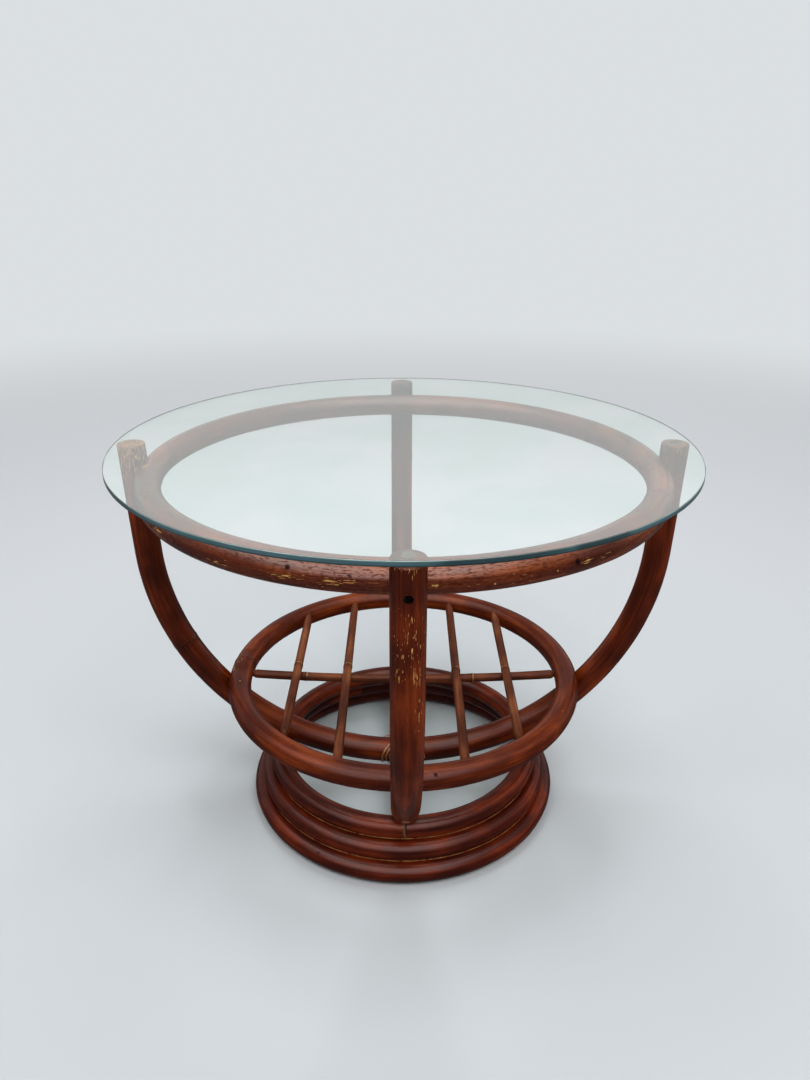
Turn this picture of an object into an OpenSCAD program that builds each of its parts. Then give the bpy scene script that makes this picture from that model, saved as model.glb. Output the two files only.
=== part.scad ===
// Round glass coffee table on two crossed bows of bent rattan pole, with a spindle shelf and a base of three rings.
// Millimetres. Origin on the floor under the middle of the glass, Z up, X to the right, Y to the back.

/* [Glass top] */
// Width of the table over the leg tops, and so the diameter of the glass
table_w = 700; // [640:5:800]
// Height of the glass surface above the floor
table_h = 506; // [485:1:530]
// Thickness of the glass
glass_t = 6; // [5:0.5:10]
// Arris ground along both edges of the glass
glass_arris = 0.8; // [0.3:0.1:1.5]
// Diameter of the clear pads under the glass
pad_d = 14; // [10:0.5:20]
// Thickness of the clear pads under the glass
pad_t = 1.5; // [1:0.1:3]

/* [Bows] */
// Diameter of the pole that the two bows are bent from
bow_d = 34; // [30:0.5:38]
// How far the legs lean outwards from upright, in degrees
leg_lean = 2; // [1:0.25:4]
// Width of the eased rim round each leg top
leg_rim = 2; // [1:0.25:3]
// Flat cut on the sharp edges of the lap where the bows cross
lap_blunt = 8; // [6:0.5:10]

/* [Upper ring] */
// Diameter of the pole that the upper ring is bent from
upper_ring_d = 31; // [26:0.5:34]
// Drop from the leg tops to the middle of the upper ring
upper_ring_drop = 30; // [25:0.5:45]
// Depth of the notch in each leg that the upper ring lies in
upper_seat = 6; // [3:0.5:8]

/* [Shelf] */
// Radius of the shelf ring to the middle of its pole
shelf_ring_r = 221.5; // [205:0.5:235]
// Diameter of the pole that the shelf ring is bent from
shelf_ring_d = 30; // [26:0.5:34]
// Depth of the notch in each bow that the shelf ring lies in
shelf_seat = 1; // [0.5:0.25:3]
// Diameter of the shelf spindles
spindle_d = 12; // [10:0.5:14]
// Distance between the two inner depth spindles
inner_spindle_gap = 149; // [130:1:165]
// Distance between the two outer depth spindles
outer_spindle_gap = 285; // [265:1:300]
// How far the row of depth spindles sits to the right of the middle
spindle_shift = -2.5; // [-6:0.5:6]
// How far the shelf and its spindles are turned on the bows, in degrees
shelf_turn = -0.6; // [-2:0.1:2]
// How far the cross spindle sags between its ends
cross_sag = 8; // [4:0.5:10]
// How far the ends of the cross spindle lie below the middle of the shelf ring
cross_end_drop = 2; // [1:0.5:5]
// Diameter of the tenon at each spindle end
tenon_d = 8; // [6:0.5:9]
// Depth of each tenon in the shelf ring
tenon_l = 12; // [8:0.5:15]
// Length of the taper from spindle to tenon at the back ends of the depth spindles
taper_l = 16; // [10:1:24]
// Length of the taper at their front ends and at both ends of the cross spindle
short_taper_l = 4; // [3:0.5:8]

/* [Base] */
// Diameter of the pole that the three base rings are bent from
base_d = 27; // [24:0.5:30]
// Radius of the bottom ring to the middle of its pole
bottom_ring_r = 198; // [185:0.5:210]
// Step in radius from each base ring to the one above
base_step = 12.25; // [9:0.25:15]
// Depth of the flat that the bottom ring stands on
floor_flat = 0.5; // [0.3:0.1:1]
// Depth of the notch in each bow that rests on the top base ring
base_seat = 1.7; // [1:0.1:3]
// Width of the open butt joint at the front of the top base ring
open_joint = 1.2; // [0.6:0.1:2]

/* [Ring joints] */
// Width of the closed butt joints of the other rings
closed_joint = 0.4; // [0.2:0.1:0.8]
// Diameter of the dowel inside each closed butt joint
dowel_d = 8; // [6:0.5:10]
// Length of the dowel inside each closed butt joint
dowel_l = 40; // [30:1:44]
// Bearing of the joint in the upper ring, in degrees from X
upper_joint_at = 172; // [165:1:173]
// Bearing of the joint in the shelf ring
shelf_joint_at = 170; // [165:1:171]
// Bearing of the joint in the middle base ring
middle_joint_at = 112; // [105:1:150]
// Bearing of the joint in the bottom base ring
bottom_joint_at = 68; // [30:1:75]

/* [Binding] */
// Width of the rattan strip wound round the crossing
strip_w = 3; // [2:0.1:4]
// Thickness of the strip
strip_t = 1.1; // [0.8:0.1:1.4]
// Turns of the strip across each diagonal of the crossing
strip_turns = 5; // [3:1:6]
// Gap between neighbouring turns
strip_gap = 0.6; // [0.5:0.1:1]

/* [Fasteners] */
// Thread diameter of the bolts that hold the upper ring
bolt_d = 5; // [4:1:6]
// Length of the bolt under its head
bolt_l = 40; // [34:1:42]
// Diameter of the bolt head
bolt_head_d = 8.5; // [8:0.5:10]
// Height of the bolt head
bolt_head_h = 5; // [4:0.5:6]
// How deep the bolt head is sunk below the face of the leg
bolt_sink = 2; // [1:0.5:4]
// Width across the corners of the hexagon socket
bolt_socket = 4.6; // [3:0.1:5]
// Outer diameter of the threaded inserts in the upper ring
insert_d = 8; // [7:0.5:9]
// Length of the threaded inserts
insert_l = 12; // [10:1:14]
// Shank diameter of the screws between bows and shelf ring
shelf_screw_d = 4; // [3:0.5:5]
// Length of the shelf screws under the head
shelf_screw_l = 40; // [36:1:44]
// Diameter of the heads of the shelf screws
shelf_screw_head_d = 8; // [7:0.5:9]
// Diameter of the wooden plugs over the shelf screws
plug_d = 10; // [9.5:0.5:12]
// Depth of the wooden plugs
plug_l = 6; // [4:0.5:8]
// Shank diameter of the long screws through the base
base_screw_d = 5; // [4:0.5:6]
// Diameter of the heads of the long screws
base_screw_head_d = 10; // [8:0.5:11]
// How deep the long screws are sunk in the bottom ring
base_screw_sink = 5; // [4:0.5:8]
// How far the long screws reach into the bows
base_screw_bite = 22; // [15:1:28]
// Height of the heads of all wood screws
screw_head_h = 3; // [2.5:0.5:4]
// Shank diameter of the screw through the crossing
lap_screw_d = 5; // [4:0.5:6]
// Length of wood left above the tip of the crossing screw
lap_screw_cover = 6; // [4:1:10]
// Diameter of the brads through the spindle crossings
brad_d = 1.6; // [1.2:0.1:2]
// Diameter of the heads of the brads
brad_head_d = 3; // [2.4:0.1:3.5]

/* [Hidden] */

$fn = 96;
mahogany = [0.42, 0.16, 0.09];
dark_mahogany = [0.33, 0.12, 0.07];
peel = [0.66, 0.44, 0.22];
beech = [0.78, 0.62, 0.42];
black_steel = [0.1, 0.1, 0.11];
zinc = [0.7, 0.7, 0.68];
brass = [0.78, 0.62, 0.3];
glass_green = [0.55, 0.75, 0.7, 0.5];

// Clearance on the radius between a piece and the hole or notch that it sits in
fit = 0.1;
// Overcut of tools that pass out of a surface
over = 10;
// Where a straight length carries on from a bend it is thinner by this much, and starts this far inside it
bend_step = 0.03;
bend_lap = 2;
// Fine steps for the long bends
bend_fn = 360;
// Turn of the cross spindle's seam, clear of the brad holes
seam_turn = 30;
// Height between the two layers of the binding
layer_gap = 1.2;
// Depth of the threaded inserts below the surface of the upper ring
insert_sink = 1;
// Room past the tip of each bolt
tip_room = 1;
// Height of the heads of the brads, half of it sunk
brad_head_h = 1;
// Wood left over the tip of each brad
brad_cover = 4;

// Radii of the poles
bow_pole = bow_d / 2;
leg_pole = bow_pole - bend_step;
spindle_pole = spindle_d / 2 - bend_step;
upper_pole = upper_ring_d / 2;
shelf_pole = shelf_ring_d / 2;
base_pole = base_d / 2;

// Leg tops, flush with the edge of the glass
leg_top_z = table_h - glass_t - pad_t;
leg_top_x = table_w / 2 - bow_pole;

// The base rings lie in each other's hollows, so their middles are on one slanted line
base_rise = sqrt(pow(base_d, 2) - pow(base_step, 2));
bottom_z = base_pole - floor_flat;
middle_ring_r = bottom_ring_r - base_step;
middle_z = bottom_z + base_rise;
top_ring_r = middle_ring_r - base_step;
top_z = middle_z + base_rise;
base_slant = atan2(base_step, base_rise);

// The bow's radius and the height of its centre follow from where the leg tops must be,
// how far the legs lean and how the bow rests on the top base ring
radius_at_floor = cos(leg_lean) * (leg_top_x - leg_top_z * tan(leg_lean));
reach_to_ring = radius_at_floor + bow_pole + base_pole - base_seat;
half_b = top_z + reach_to_ring * sin(leg_lean);
cos_squared = pow(cos(leg_lean), 2);
bow_centre_z =
  (half_b + sqrt(pow(half_b, 2) - cos_squared * (pow(top_z, 2) + pow(top_ring_r, 2) - pow(reach_to_ring, 2))))
  / cos_squared;
bow_r = radius_at_floor + bow_centre_z * sin(leg_lean);
bow_low_z = bow_centre_z - bow_r;
arc_end_x = bow_r * cos(leg_lean);
arc_end_z = bow_centre_z - bow_r * sin(leg_lean);
leg_l = (leg_top_z - arc_end_z) / cos(leg_lean);

// Upper ring, let into the legs
upper_z = leg_top_z - upper_ring_drop;
leg_x_at_upper = arc_end_x + (upper_z - arc_end_z) * tan(leg_lean);
upper_ring_r = leg_x_at_upper - bow_pole - upper_pole + upper_seat;
leg_face_x = leg_x_at_upper + bow_pole / cos(leg_lean);

// Shelf ring, lying in notches on the inner side of the bows
shelf_reach = bow_r - bow_pole - shelf_pole + shelf_seat;
shelf_z = bow_centre_z - sqrt(pow(shelf_reach, 2) - pow(shelf_ring_r, 2));
shelf_bearing = atan2(shelf_ring_r, bow_centre_z - shelf_z);

// The cross spindle is a shallow arc, and the depth spindles lie on it
cross_end_z = shelf_z - cross_end_drop;
cross_half = shelf_ring_r - sqrt(pow(shelf_pole, 2) - pow(cross_end_drop, 2)) - short_taper_l;
cross_r = (pow(cross_half, 2) + pow(cross_sag, 2)) / (2 * cross_sag);
cross_tilt = asin(cross_half / cross_r);
function cross_z(x) = cross_end_z - cross_sag + cross_r - sqrt(pow(cross_r, 2) - pow(x, 2));
depth_xs = [
  spindle_shift - outer_spindle_gap / 2, spindle_shift - inner_spindle_gap / 2,
  spindle_shift + inner_spindle_gap / 2, spindle_shift + outer_spindle_gap / 2,
];
function depth_z(x) = cross_z(x) + spindle_d + fit;
// Half the length of a depth spindle up to where its middle line enters the shelf ring
function depth_half(x) =
  sqrt(pow(shelf_ring_r - sqrt(pow(shelf_pole, 2) - pow(depth_z(x) - shelf_z, 2)), 2) - pow(x, 2));

// Fasteners
bolt_hole_d = bolt_d + 4 * fit;
insert_x = upper_ring_r + upper_pole - insert_sink;
bow_outer = bow_r + bow_pole;
base_line_l = 2 * base_d;
bow_on_line = base_line_l + base_pole + base_screw_bite - base_seat;
base_screw_start = base_screw_sink - base_pole;
lap_screw_l = bow_d - screw_head_h - lap_screw_cover;
brad_l = 2 * spindle_d - brad_cover;

// Binding: half widths of the crossing along a diagonal and upwards, and the two layers' offsets
lap_half = bow_pole * sqrt(2);
layer_1 = 2 * fit + strip_t / 2;
layer_2 = layer_1 + strip_t + layer_gap;
strip_pitch = strip_w + strip_gap;
strip_span = strip_pitch * (strip_turns - 0.5) / 2;

// A closed ring of round pole
module pole_ring(ring_r, pole_r, z) {
  translate([0, 0, z])
    rotate_extrude()
      translate([ring_r, 0])
        circle(pole_r);
}

// The saw cut of a butt joint in a ring
module joint_cut(ring_r, pole_r, z, bearing, width) {
  rotate([0, 0, bearing])
    translate([ring_r, 0, z])
      cube([3 * pole_r, width, 3 * pole_r], center = true);
}

// A dowel across a butt joint, grown by extra for its hole
module joint_dowel(ring_r, z, bearing, extra = 0) {
  rotate([0, 0, bearing])
    translate([ring_r, 0, z])
      rotate([90, 0, 0])
        cylinder(d = dowel_d + 2 * extra, h = dowel_l + 2 * extra, center = true);
}

// Four copies, one at each leg: right, back, left and front
module at_legs() {
  for (bearing = [0:90:270])
    rotate([0, 0, bearing])
      children();
}

// Places children on the outer face of a bow where the shelf ring lies, Z pointing into the wood
module at_shelf_screw() {
  translate([0, 0, bow_centre_z])
    rotate([0, 180 - shelf_bearing, 0])
      translate([0, 0, bow_outer])
        rotate([180, 0, 0])
          children();
}

// Places children at the middle of the bottom ring, Z pointing up the slanted line of the base rings
module at_base_screw() {
  translate([bottom_ring_r, 0, bottom_z])
    rotate([0, -base_slant, 0])
      children();
}

// Hole for an upper ring bolt: counterbore and clearance hole, from outside inwards
module bolt_hole() {
  translate([leg_face_x - bolt_sink - bolt_head_h, 0, upper_z])
    rotate([0, 90, 0])
      cylinder(r = bolt_head_d / 2 + 2 * fit, h = bolt_head_h + bolt_sink + over);
  translate([leg_face_x - bow_d - over, 0, upper_z])
    rotate([0, 90, 0])
      cylinder(d = bolt_hole_d, h = bow_d + over);
}

// Hole in a bow for a shelf screw and its plug
module shelf_screw_hole() {
  at_shelf_screw() {
    translate([0, 0, -over])
      cylinder(r = plug_d / 2 + fit, h = over + plug_l + screw_head_h + fit);
    cylinder(r = shelf_screw_d / 2 + fit, h = bow_d + over);
  }
}

// Hole for a long base screw with its counterbore
module base_screw_hole() {
  at_base_screw() {
    translate([0, 0, base_screw_start - over])
      cylinder(r = base_screw_head_d / 2 + fit, h = over + screw_head_h + fit);
    translate([0, 0, base_screw_start])
      cylinder(r = base_screw_d / 2 + fit, h = bow_on_line - base_screw_start + fit);
  }
}

// Straight leg that carries on from the end of the bow's arc, with an eased rim
module leg() {
  translate([arc_end_x, 0, arc_end_z])
    rotate([0, leg_lean, 0]) {
      translate([0, 0, -bend_lap])
        cylinder(r = leg_pole, h = bend_lap + leg_l - leg_rim);
      translate([0, 0, leg_l - leg_rim])
        cylinder(r1 = leg_pole, r2 = leg_pole - 2 * leg_rim, h = 2 * leg_rim);
    }
}

// The bent part of a bow in the XZ plane
module bow_bend() {
  translate([0, 0, bow_centre_z])
    rotate([90, 0, 0])
      rotate([0, 0, 180 + leg_lean])
        rotate_extrude(angle = 180 - 2 * leg_lean, $fn = bend_fn)
          translate([bow_r, 0])
            circle(bow_pole, $fn = 96);
}

// One bow in the XZ plane before any joint is cut
module bow_pole_bent() {
  bow_bend();
  leg();
  mirror([1, 0, 0])
    leg();
}

// A bow with everything cut but the lap
module bow() {
  difference() {
    bow_pole_bent();
    translate([-table_w / 2 - over, -bow_d, leg_top_z])
      cube([table_w + 2 * over, 2 * bow_d, 2 * leg_rim + over]);
    pole_ring(upper_ring_r, upper_pole + fit, upper_z);
    pole_ring(shelf_ring_r, shelf_pole + fit, shelf_z);
    pole_ring(top_ring_r, base_pole + fit, top_z);
    for (side = [0, 180])
      rotate([0, 0, side]) {
        bolt_hole();
        shelf_screw_hole();
        base_screw_hole();
      }
  }
}

// Tool that takes away one half of a pole where the other one crosses along X, above the middle
module lap_cut() {
  intersection() {
    translate([0, 0, bow_low_z])
      rotate([0, 90, 0])
        cylinder(r = bow_pole + 3 * fit, h = 2 * bow_d, center = true);
    translate([-bow_d, -bow_d, bow_low_z])
      cube([2 * bow_d, 2 * bow_d, bow_d]);
  }
  translate([-bow_d, -lap_blunt, bow_low_z + bow_pole - lap_blunt / 2])
    cube([2 * bow_d, 2 * lap_blunt, bow_pole]);
}

// Screw up through the lap, grown by extra for its hole
module lap_screw(extra = 0) {
  translate([0, 0, bow_low_z - bow_pole]) {
    translate([0, 0, extra > 0 ? -over : 0])
      cylinder(r = base_screw_head_d / 2 + extra, h = screw_head_h + (extra > 0 ? over + extra : 0));
    cylinder(r = lap_screw_d / 2 + extra, h = screw_head_h + lap_screw_l + extra);
  }
}

// A whittled spindle end along X from its own zero: taper, then tenon
module spindle_end(length) {
  rotate([0, 90, 0]) {
    translate([0, 0, -bend_lap])
      cylinder(r = spindle_pole, h = bend_lap);
    cylinder(r1 = spindle_pole, r2 = tenon_d / 2, h = length);
    translate([0, 0, length])
      cylinder(d = tenon_d, h = tenon_l);
  }
}

// The pocket for a spindle end, wide enough for the spindle where it meets the ring aslant
module spindle_pocket(length) {
  rotate([0, 90, 0]) {
    translate([0, 0, -spindle_d])
      cylinder(r = spindle_d / 2 + fit, h = spindle_d);
    cylinder(r1 = spindle_d / 2 + fit, r2 = tenon_d / 2 + fit, h = length);
    translate([0, 0, length])
      cylinder(r = tenon_d / 2 + fit, h = tenon_l + fit);
  }
}

// Places children at both ends of the cross spindle, X pointing out of the spindle
module at_cross_ends() {
  for (side = [0, 180])
    rotate([0, 0, side])
      translate([cross_half, 0, cross_end_z])
        rotate([0, -cross_tilt, 0])
          children();
}

// Places child 0 at the back end of a depth spindle and child 1 at its front end, X pointing out
module at_depth_ends(x) {
  translate([x, depth_half(x) - taper_l, depth_z(x)])
    rotate([0, 0, 90])
      children(0);
  translate([x, short_taper_l - depth_half(x), depth_z(x)])
    rotate([0, 0, -90])
      children(1);
}

// A brad driven up through the cross spindle into a depth spindle, grown by extra for its hole
module brad(x, extra = 0) {
  translate([x, 0, cross_z(x) - spindle_d / 2]) {
    translate([0, 0, -brad_head_h / 2 - extra])
      cylinder(r = brad_head_d / 2 + extra, h = brad_head_h + 2 * extra);
    cylinder(r = brad_d / 2 + extra, h = brad_l + extra);
  }
}

// Strip path. A turn runs over the crossing along one diagonal and back under it: across is
// its offset from the diagonal, layer its height off the wood, flip picks the diagonal.
function turn_point(angle, across, layer, flip) =
  let (
    along = (lap_half + layer_1) * cos(angle) + (abs(across) + strip_w / 2) * sign(cos(angle)),
    x = (along - flip * across) / sqrt(2),
    y = (flip * along + across) / sqrt(2)
  )
  [x, y, bow_low_z + (bow_pole + layer) * sin(angle) + bow_rise(x, y, angle)];
// How far the bows have risen at x and y: over the top the higher one counts, below the lower one
function bow_rise(x, y, angle) =
  let (over_top = (1 + sin(angle)) / 2)
  (max(x * x, y * y) * over_top + min(x * x, y * y) * (1 - over_top)) / (2 * bow_r);
function turn_out(angle, flip) = [cos(angle) / sqrt(2), flip * cos(angle) / sqrt(2), sin(angle)];
turn_steps = 24;
layer_angle = 360 * strip_turns - 180;
layer_points = layer_angle * turn_steps / 360;
function spread(i) = -strip_span + 2 * strip_span * i / layer_points;
// Half a step past the level, so that each turn lies flat over the crests of the wood
function step_angle(i) = 360 * (i + 0.5) / turn_steps;
first_layer = [
  for (i = [0:layer_points])
    [turn_point(step_angle(i), spread(i), layer_1, 1), turn_out(step_angle(i), 1)]
];
second_layer = [
  for (i = [0:layer_points])
    let (angle = 180 - step_angle(i))
      [turn_point(angle, spread(i), layer_2, -1), turn_out(angle, -1)]
];
// Half a turn under the left arm joins the end of the first layer to the start of the second
link_from = first_layer[layer_points][0];
link_to = second_layer[0][0];
link_r = bow_pole + layer_1 + 3 * fit;
link_steps = 11;
link = [
  for (i = [1:link_steps])
    let (
      angle = 180 * i / (link_steps + 1),
      share = (1 - cos(angle)) / 2,
      x = link_from[0] + (link_to[0] - link_from[0]) * share,
      arm_z = bow_low_z + x * x / (2 * bow_r)
    )
      [
        [x, -link_r * cos(angle), arm_z - link_r * sin(angle)],
        [0, -cos(angle), -sin(angle)],
      ]
];
strip_path = concat(first_layer, link, second_layer);

function unit(v) = v / norm(v);
// Each point of the path with its directions along the strip, across it and out of the wood
strip_last = len(strip_path) - 1;
strip_frames = [
  for (i = [0:strip_last])
    let (
      along = unit(strip_path[min(i + 1, strip_last)][0] - strip_path[max(i - 1, 0)][0]),
      raw = strip_path[i][1],
      out = unit(raw - along * (raw * along))
    )
      [strip_path[i][0], along, cross(along, out), out]
];
// Six corners of the flat strip at each point of its path
strip_rings = [
  for (frame = strip_frames)
    [
      for (corner = [0:5])
        frame[0]
        + frame[2] * strip_w / 2 * cos(60 * corner)
        + frame[3] * strip_t / sqrt(3) * sin(60 * corner)
    ]
];

// Gap between the strip at point i and its stretch from point j, as a box round the strip sees it
function nearest(p, a, b) = a + (b - a) * max(0, min(1, (p - a) * (b - a) / ((b - a) * (b - a))));
function strip_gap_at(i, j) =
  let (
    frame = strip_frames[i],
    away = nearest(frame[0], strip_frames[j][0], strip_frames[j + 1][0]) - frame[0]
  )
  max(abs(away * frame[1]) - strip_w, abs(away * frame[2]) - strip_w, abs(away * frame[3]) - strip_t);
least_strip_gap = min([
  for (i = [0:strip_last], j = [0:strip_last - 1])
    if (abs(i - j) > turn_steps / 2) strip_gap_at(i, j)
]);
echo(str("Least gap between the turns of the strip: ", least_strip_gap, " mm"));

// Closed tube through rings of six corners each
module strip_tube(rings) {
  last = len(rings) - 1;
  polyhedron(
    points = [for (ring = rings) each ring],
    faces = [
      for (i = [0:last - 1], k = [0:5])
        each [
          [6 * i + k, 6 * i + 6 + k, 6 * i + (k + 1) % 6],
          [6 * i + (k + 1) % 6, 6 * i + 6 + k, 6 * i + 6 + (k + 1) % 6],
        ],
      for (k = [1:4]) [0, k, k + 1],
      for (k = [1:4]) [6 * last, 6 * last + k + 1, 6 * last + k],
    ]
  );
}

module glass_top() {
  r = table_w / 2;
  color(glass_green)
    translate([0, 0, table_h - glass_t])
      rotate_extrude()
        polygon([
          [0, 0], [r - glass_arris, 0], [r, glass_arris],
          [r, glass_t - glass_arris], [r - glass_arris, glass_t], [0, glass_t],
        ]);
}

module glass_pads() {
  color("white")
    at_legs()
      translate([leg_top_x, 0, leg_top_z])
        cylinder(d = pad_d, h = pad_t);
}

module upper_ring() {
  color(mahogany)
    difference() {
      pole_ring(upper_ring_r, upper_pole, upper_z);
      joint_cut(upper_ring_r, upper_pole, upper_z, upper_joint_at, closed_joint);
      joint_dowel(upper_ring_r, upper_z, upper_joint_at, fit);
      at_legs() {
        translate([insert_x - insert_l - fit, 0, upper_z])
          rotate([0, 90, 0])
            cylinder(r = insert_d / 2 + fit, h = insert_l + over);
        translate([leg_face_x - bolt_sink - bolt_head_h - bolt_l - tip_room, 0, upper_z])
          rotate([0, 90, 0])
            cylinder(d = bolt_hole_d, h = bolt_l);
      }
    }
}

module bow_left_right() {
  color(mahogany)
    difference() {
      bow();
      translate([0, 0, 2 * bow_low_z])
        mirror([0, 0, 1])
          rotate([0, 0, 90])
            lap_cut();
      lap_screw(fit);
    }
}

module bow_front_back() {
  color(mahogany)
    difference() {
      rotate([0, 0, 90])
        bow();
      lap_cut();
      lap_screw(fit);
    }
}

module crossing_binding() {
  color(peel)
    strip_tube(strip_rings);
}

module shelf_ring() {
  color(mahogany)
    difference() {
      pole_ring(shelf_ring_r, shelf_pole, shelf_z);
      joint_cut(shelf_ring_r, shelf_pole, shelf_z, shelf_joint_at, closed_joint);
      joint_dowel(shelf_ring_r, shelf_z, shelf_joint_at, fit);
      at_legs()
        at_shelf_screw()
          cylinder(r = shelf_screw_d / 2 + fit, h = plug_l + screw_head_h + shelf_screw_l + fit);
      rotate([0, 0, shelf_turn]) {
        at_cross_ends()
          spindle_pocket(short_taper_l);
        for (x = depth_xs)
          at_depth_ends(x) {
            spindle_pocket(taper_l);
            spindle_pocket(short_taper_l);
          }
      }
    }
}

module cross_spindle() {
  color(dark_mahogany)
    rotate([0, 0, shelf_turn])
      difference() {
        union() {
          translate([0, 0, cross_end_z - cross_sag + cross_r])
            rotate([90, 0, 0])
              rotate([0, 0, -90 - cross_tilt])
                rotate_extrude(angle = 2 * cross_tilt, $fn = 4 * bend_fn)
                  translate([cross_r, 0])
                    rotate(seam_turn)
                      circle(spindle_d / 2);
          at_cross_ends()
            spindle_end(short_taper_l);
        }
        for (x = depth_xs)
          brad(x, fit);
      }
}

// Depth spindle number i, counted from the left
module depth_spindle(i) {
  x = depth_xs[i];
  color(dark_mahogany)
    rotate([0, 0, shelf_turn])
      difference() {
        union() {
          translate([x, depth_half(x) - taper_l, depth_z(x)])
            rotate([90, 0, 0])
              cylinder(d = spindle_d, h = 2 * depth_half(x) - taper_l - short_taper_l);
          at_depth_ends(x) {
            spindle_end(taper_l);
            spindle_end(short_taper_l);
          }
        }
        brad(x, fit);
      }
}

// Base ring with its butt joint and the holes for the long screws
module base_ring(ring_r, z, bearing, width) {
  color(mahogany)
    difference() {
      pole_ring(ring_r, base_pole, z);
      joint_cut(ring_r, base_pole, z, bearing, width);
      at_legs()
        base_screw_hole();
      children();
    }
}

module base_ring_top() {
  base_ring(top_ring_r, top_z, -90, open_joint);
}

module base_ring_middle() {
  base_ring(middle_ring_r, middle_z, middle_joint_at, closed_joint)
    joint_dowel(middle_ring_r, middle_z, middle_joint_at, fit);
}

module base_ring_bottom() {
  base_ring(bottom_ring_r, bottom_z, bottom_joint_at, closed_joint) {
    joint_dowel(bottom_ring_r, bottom_z, bottom_joint_at, fit);
    translate([-table_w / 2, -table_w / 2, -over])
      cube([table_w, table_w, over]);
  }
}

module ring_bolts() {
  color(black_steel)
    at_legs()
      translate([leg_face_x - bolt_sink, 0, upper_z])
        rotate([0, -90, 0])
          difference() {
            union() {
              cylinder(d = bolt_head_d, h = bolt_head_h);
              translate([0, 0, bolt_head_h])
                cylinder(d = bolt_d, h = bolt_l);
            }
            translate([0, 0, -over])
              cylinder(d = bolt_socket, h = bolt_head_h / 2 + over, $fn = 6);
          }
}

module ring_inserts() {
  color(brass)
    at_legs()
      translate([insert_x - insert_l, 0, upper_z])
        rotate([0, 90, 0])
          difference() {
            cylinder(d = insert_d, h = insert_l);
            translate([0, 0, -over])
              cylinder(r = bolt_d / 2 + fit / 2, h = insert_l + 2 * over);
          }
}

module shelf_screws() {
  color(zinc)
    at_legs()
      at_shelf_screw()
        translate([0, 0, plug_l]) {
          cylinder(d = shelf_screw_head_d, h = screw_head_h);
          translate([0, 0, screw_head_h])
            cylinder(d = shelf_screw_d, h = shelf_screw_l);
        }
}

module shelf_screw_plugs() {
  color(dark_mahogany)
    at_legs()
      intersection() {
        bow_bend();
        at_shelf_screw()
          translate([0, 0, -over])
            cylinder(d = plug_d, h = over + plug_l);
      }
}

module base_screws() {
  color(zinc)
    at_legs()
      at_base_screw()
        translate([0, 0, base_screw_start]) {
          cylinder(d = base_screw_head_d, h = screw_head_h);
          translate([0, 0, screw_head_h])
            cylinder(d = base_screw_d, h = bow_on_line - base_screw_start - screw_head_h);
        }
}

module crossing_screw() {
  color(zinc)
    lap_screw();
}

module ring_dowels() {
  color(beech) {
    joint_dowel(upper_ring_r, upper_z, upper_joint_at);
    joint_dowel(shelf_ring_r, shelf_z, shelf_joint_at);
    joint_dowel(middle_ring_r, middle_z, middle_joint_at);
    joint_dowel(bottom_ring_r, bottom_z, bottom_joint_at);
  }
}

module spindle_brads() {
  color(zinc)
    rotate([0, 0, shelf_turn])
      for (x = depth_xs)
        brad(x);
}

glass_top();
glass_pads();
upper_ring();
bow_left_right();
bow_front_back();
crossing_binding();
shelf_ring();
cross_spindle();
depth_spindle(0);  // depth_spindle_1
depth_spindle(1);  // depth_spindle_2
depth_spindle(2);  // depth_spindle_3
depth_spindle(3);  // depth_spindle_4
base_ring_top();
base_ring_middle();
base_ring_bottom();
ring_bolts();
ring_inserts();
shelf_screws();
shelf_screw_plugs();
base_screws();
crossing_screw();
ring_dowels();
spindle_brads();
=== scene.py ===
"""Dresses the round rattan coffee table: lacquered bent poles, a spindle shelf and a glass top, in metres."""

import logging
import math
from collections.abc import Callable, Iterator
from contextlib import contextmanager
from dataclasses import dataclass
from enum import Enum

import bmesh
import bpy
import numpy as np
from mathutils import Matrix, Vector


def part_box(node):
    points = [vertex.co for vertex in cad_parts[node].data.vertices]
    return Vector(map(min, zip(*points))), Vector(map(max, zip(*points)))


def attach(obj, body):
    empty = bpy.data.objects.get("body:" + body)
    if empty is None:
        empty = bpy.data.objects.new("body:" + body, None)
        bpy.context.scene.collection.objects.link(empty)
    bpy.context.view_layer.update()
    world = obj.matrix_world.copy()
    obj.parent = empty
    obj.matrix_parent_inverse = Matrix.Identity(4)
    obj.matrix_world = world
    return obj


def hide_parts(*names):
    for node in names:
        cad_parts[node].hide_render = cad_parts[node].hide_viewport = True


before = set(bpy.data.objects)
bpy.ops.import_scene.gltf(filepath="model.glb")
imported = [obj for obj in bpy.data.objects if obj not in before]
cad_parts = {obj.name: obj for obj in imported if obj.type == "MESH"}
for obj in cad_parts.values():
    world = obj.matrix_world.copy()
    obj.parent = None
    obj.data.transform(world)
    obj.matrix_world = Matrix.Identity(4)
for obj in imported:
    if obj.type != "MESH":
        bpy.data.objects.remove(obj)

log = logging.getLogger("rattan_table")

Triple = tuple[float, float, float]
Colour = Triple
Places = np.ndarray

FRAME_BODY = "frame"
GLASS_BODY = "glass"

FIT = 0.0001
CUT_MERGE = 0.0000001
MIRROR_MERGE = 0.00001
POLE_SIDES = 28
LEG_LEAN = math.radians(2)
FLOOR_FLAT = 0.0005
SHELF_TURN = math.radians(-0.6)


class Element(Enum):
    """What is picked in edit mode."""

    VERTEX = "VERT"
    EDGE = "EDGE"


class Bearing(Enum):
    """Directions round the table seen from above, in degrees from X towards Y."""

    RIGHT = 0
    BACK = 90
    LEFT = 180
    FRONT = 270

    @property
    def turn(self) -> float:
        """The bearing in radians."""
        return math.radians(self.value)


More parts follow.
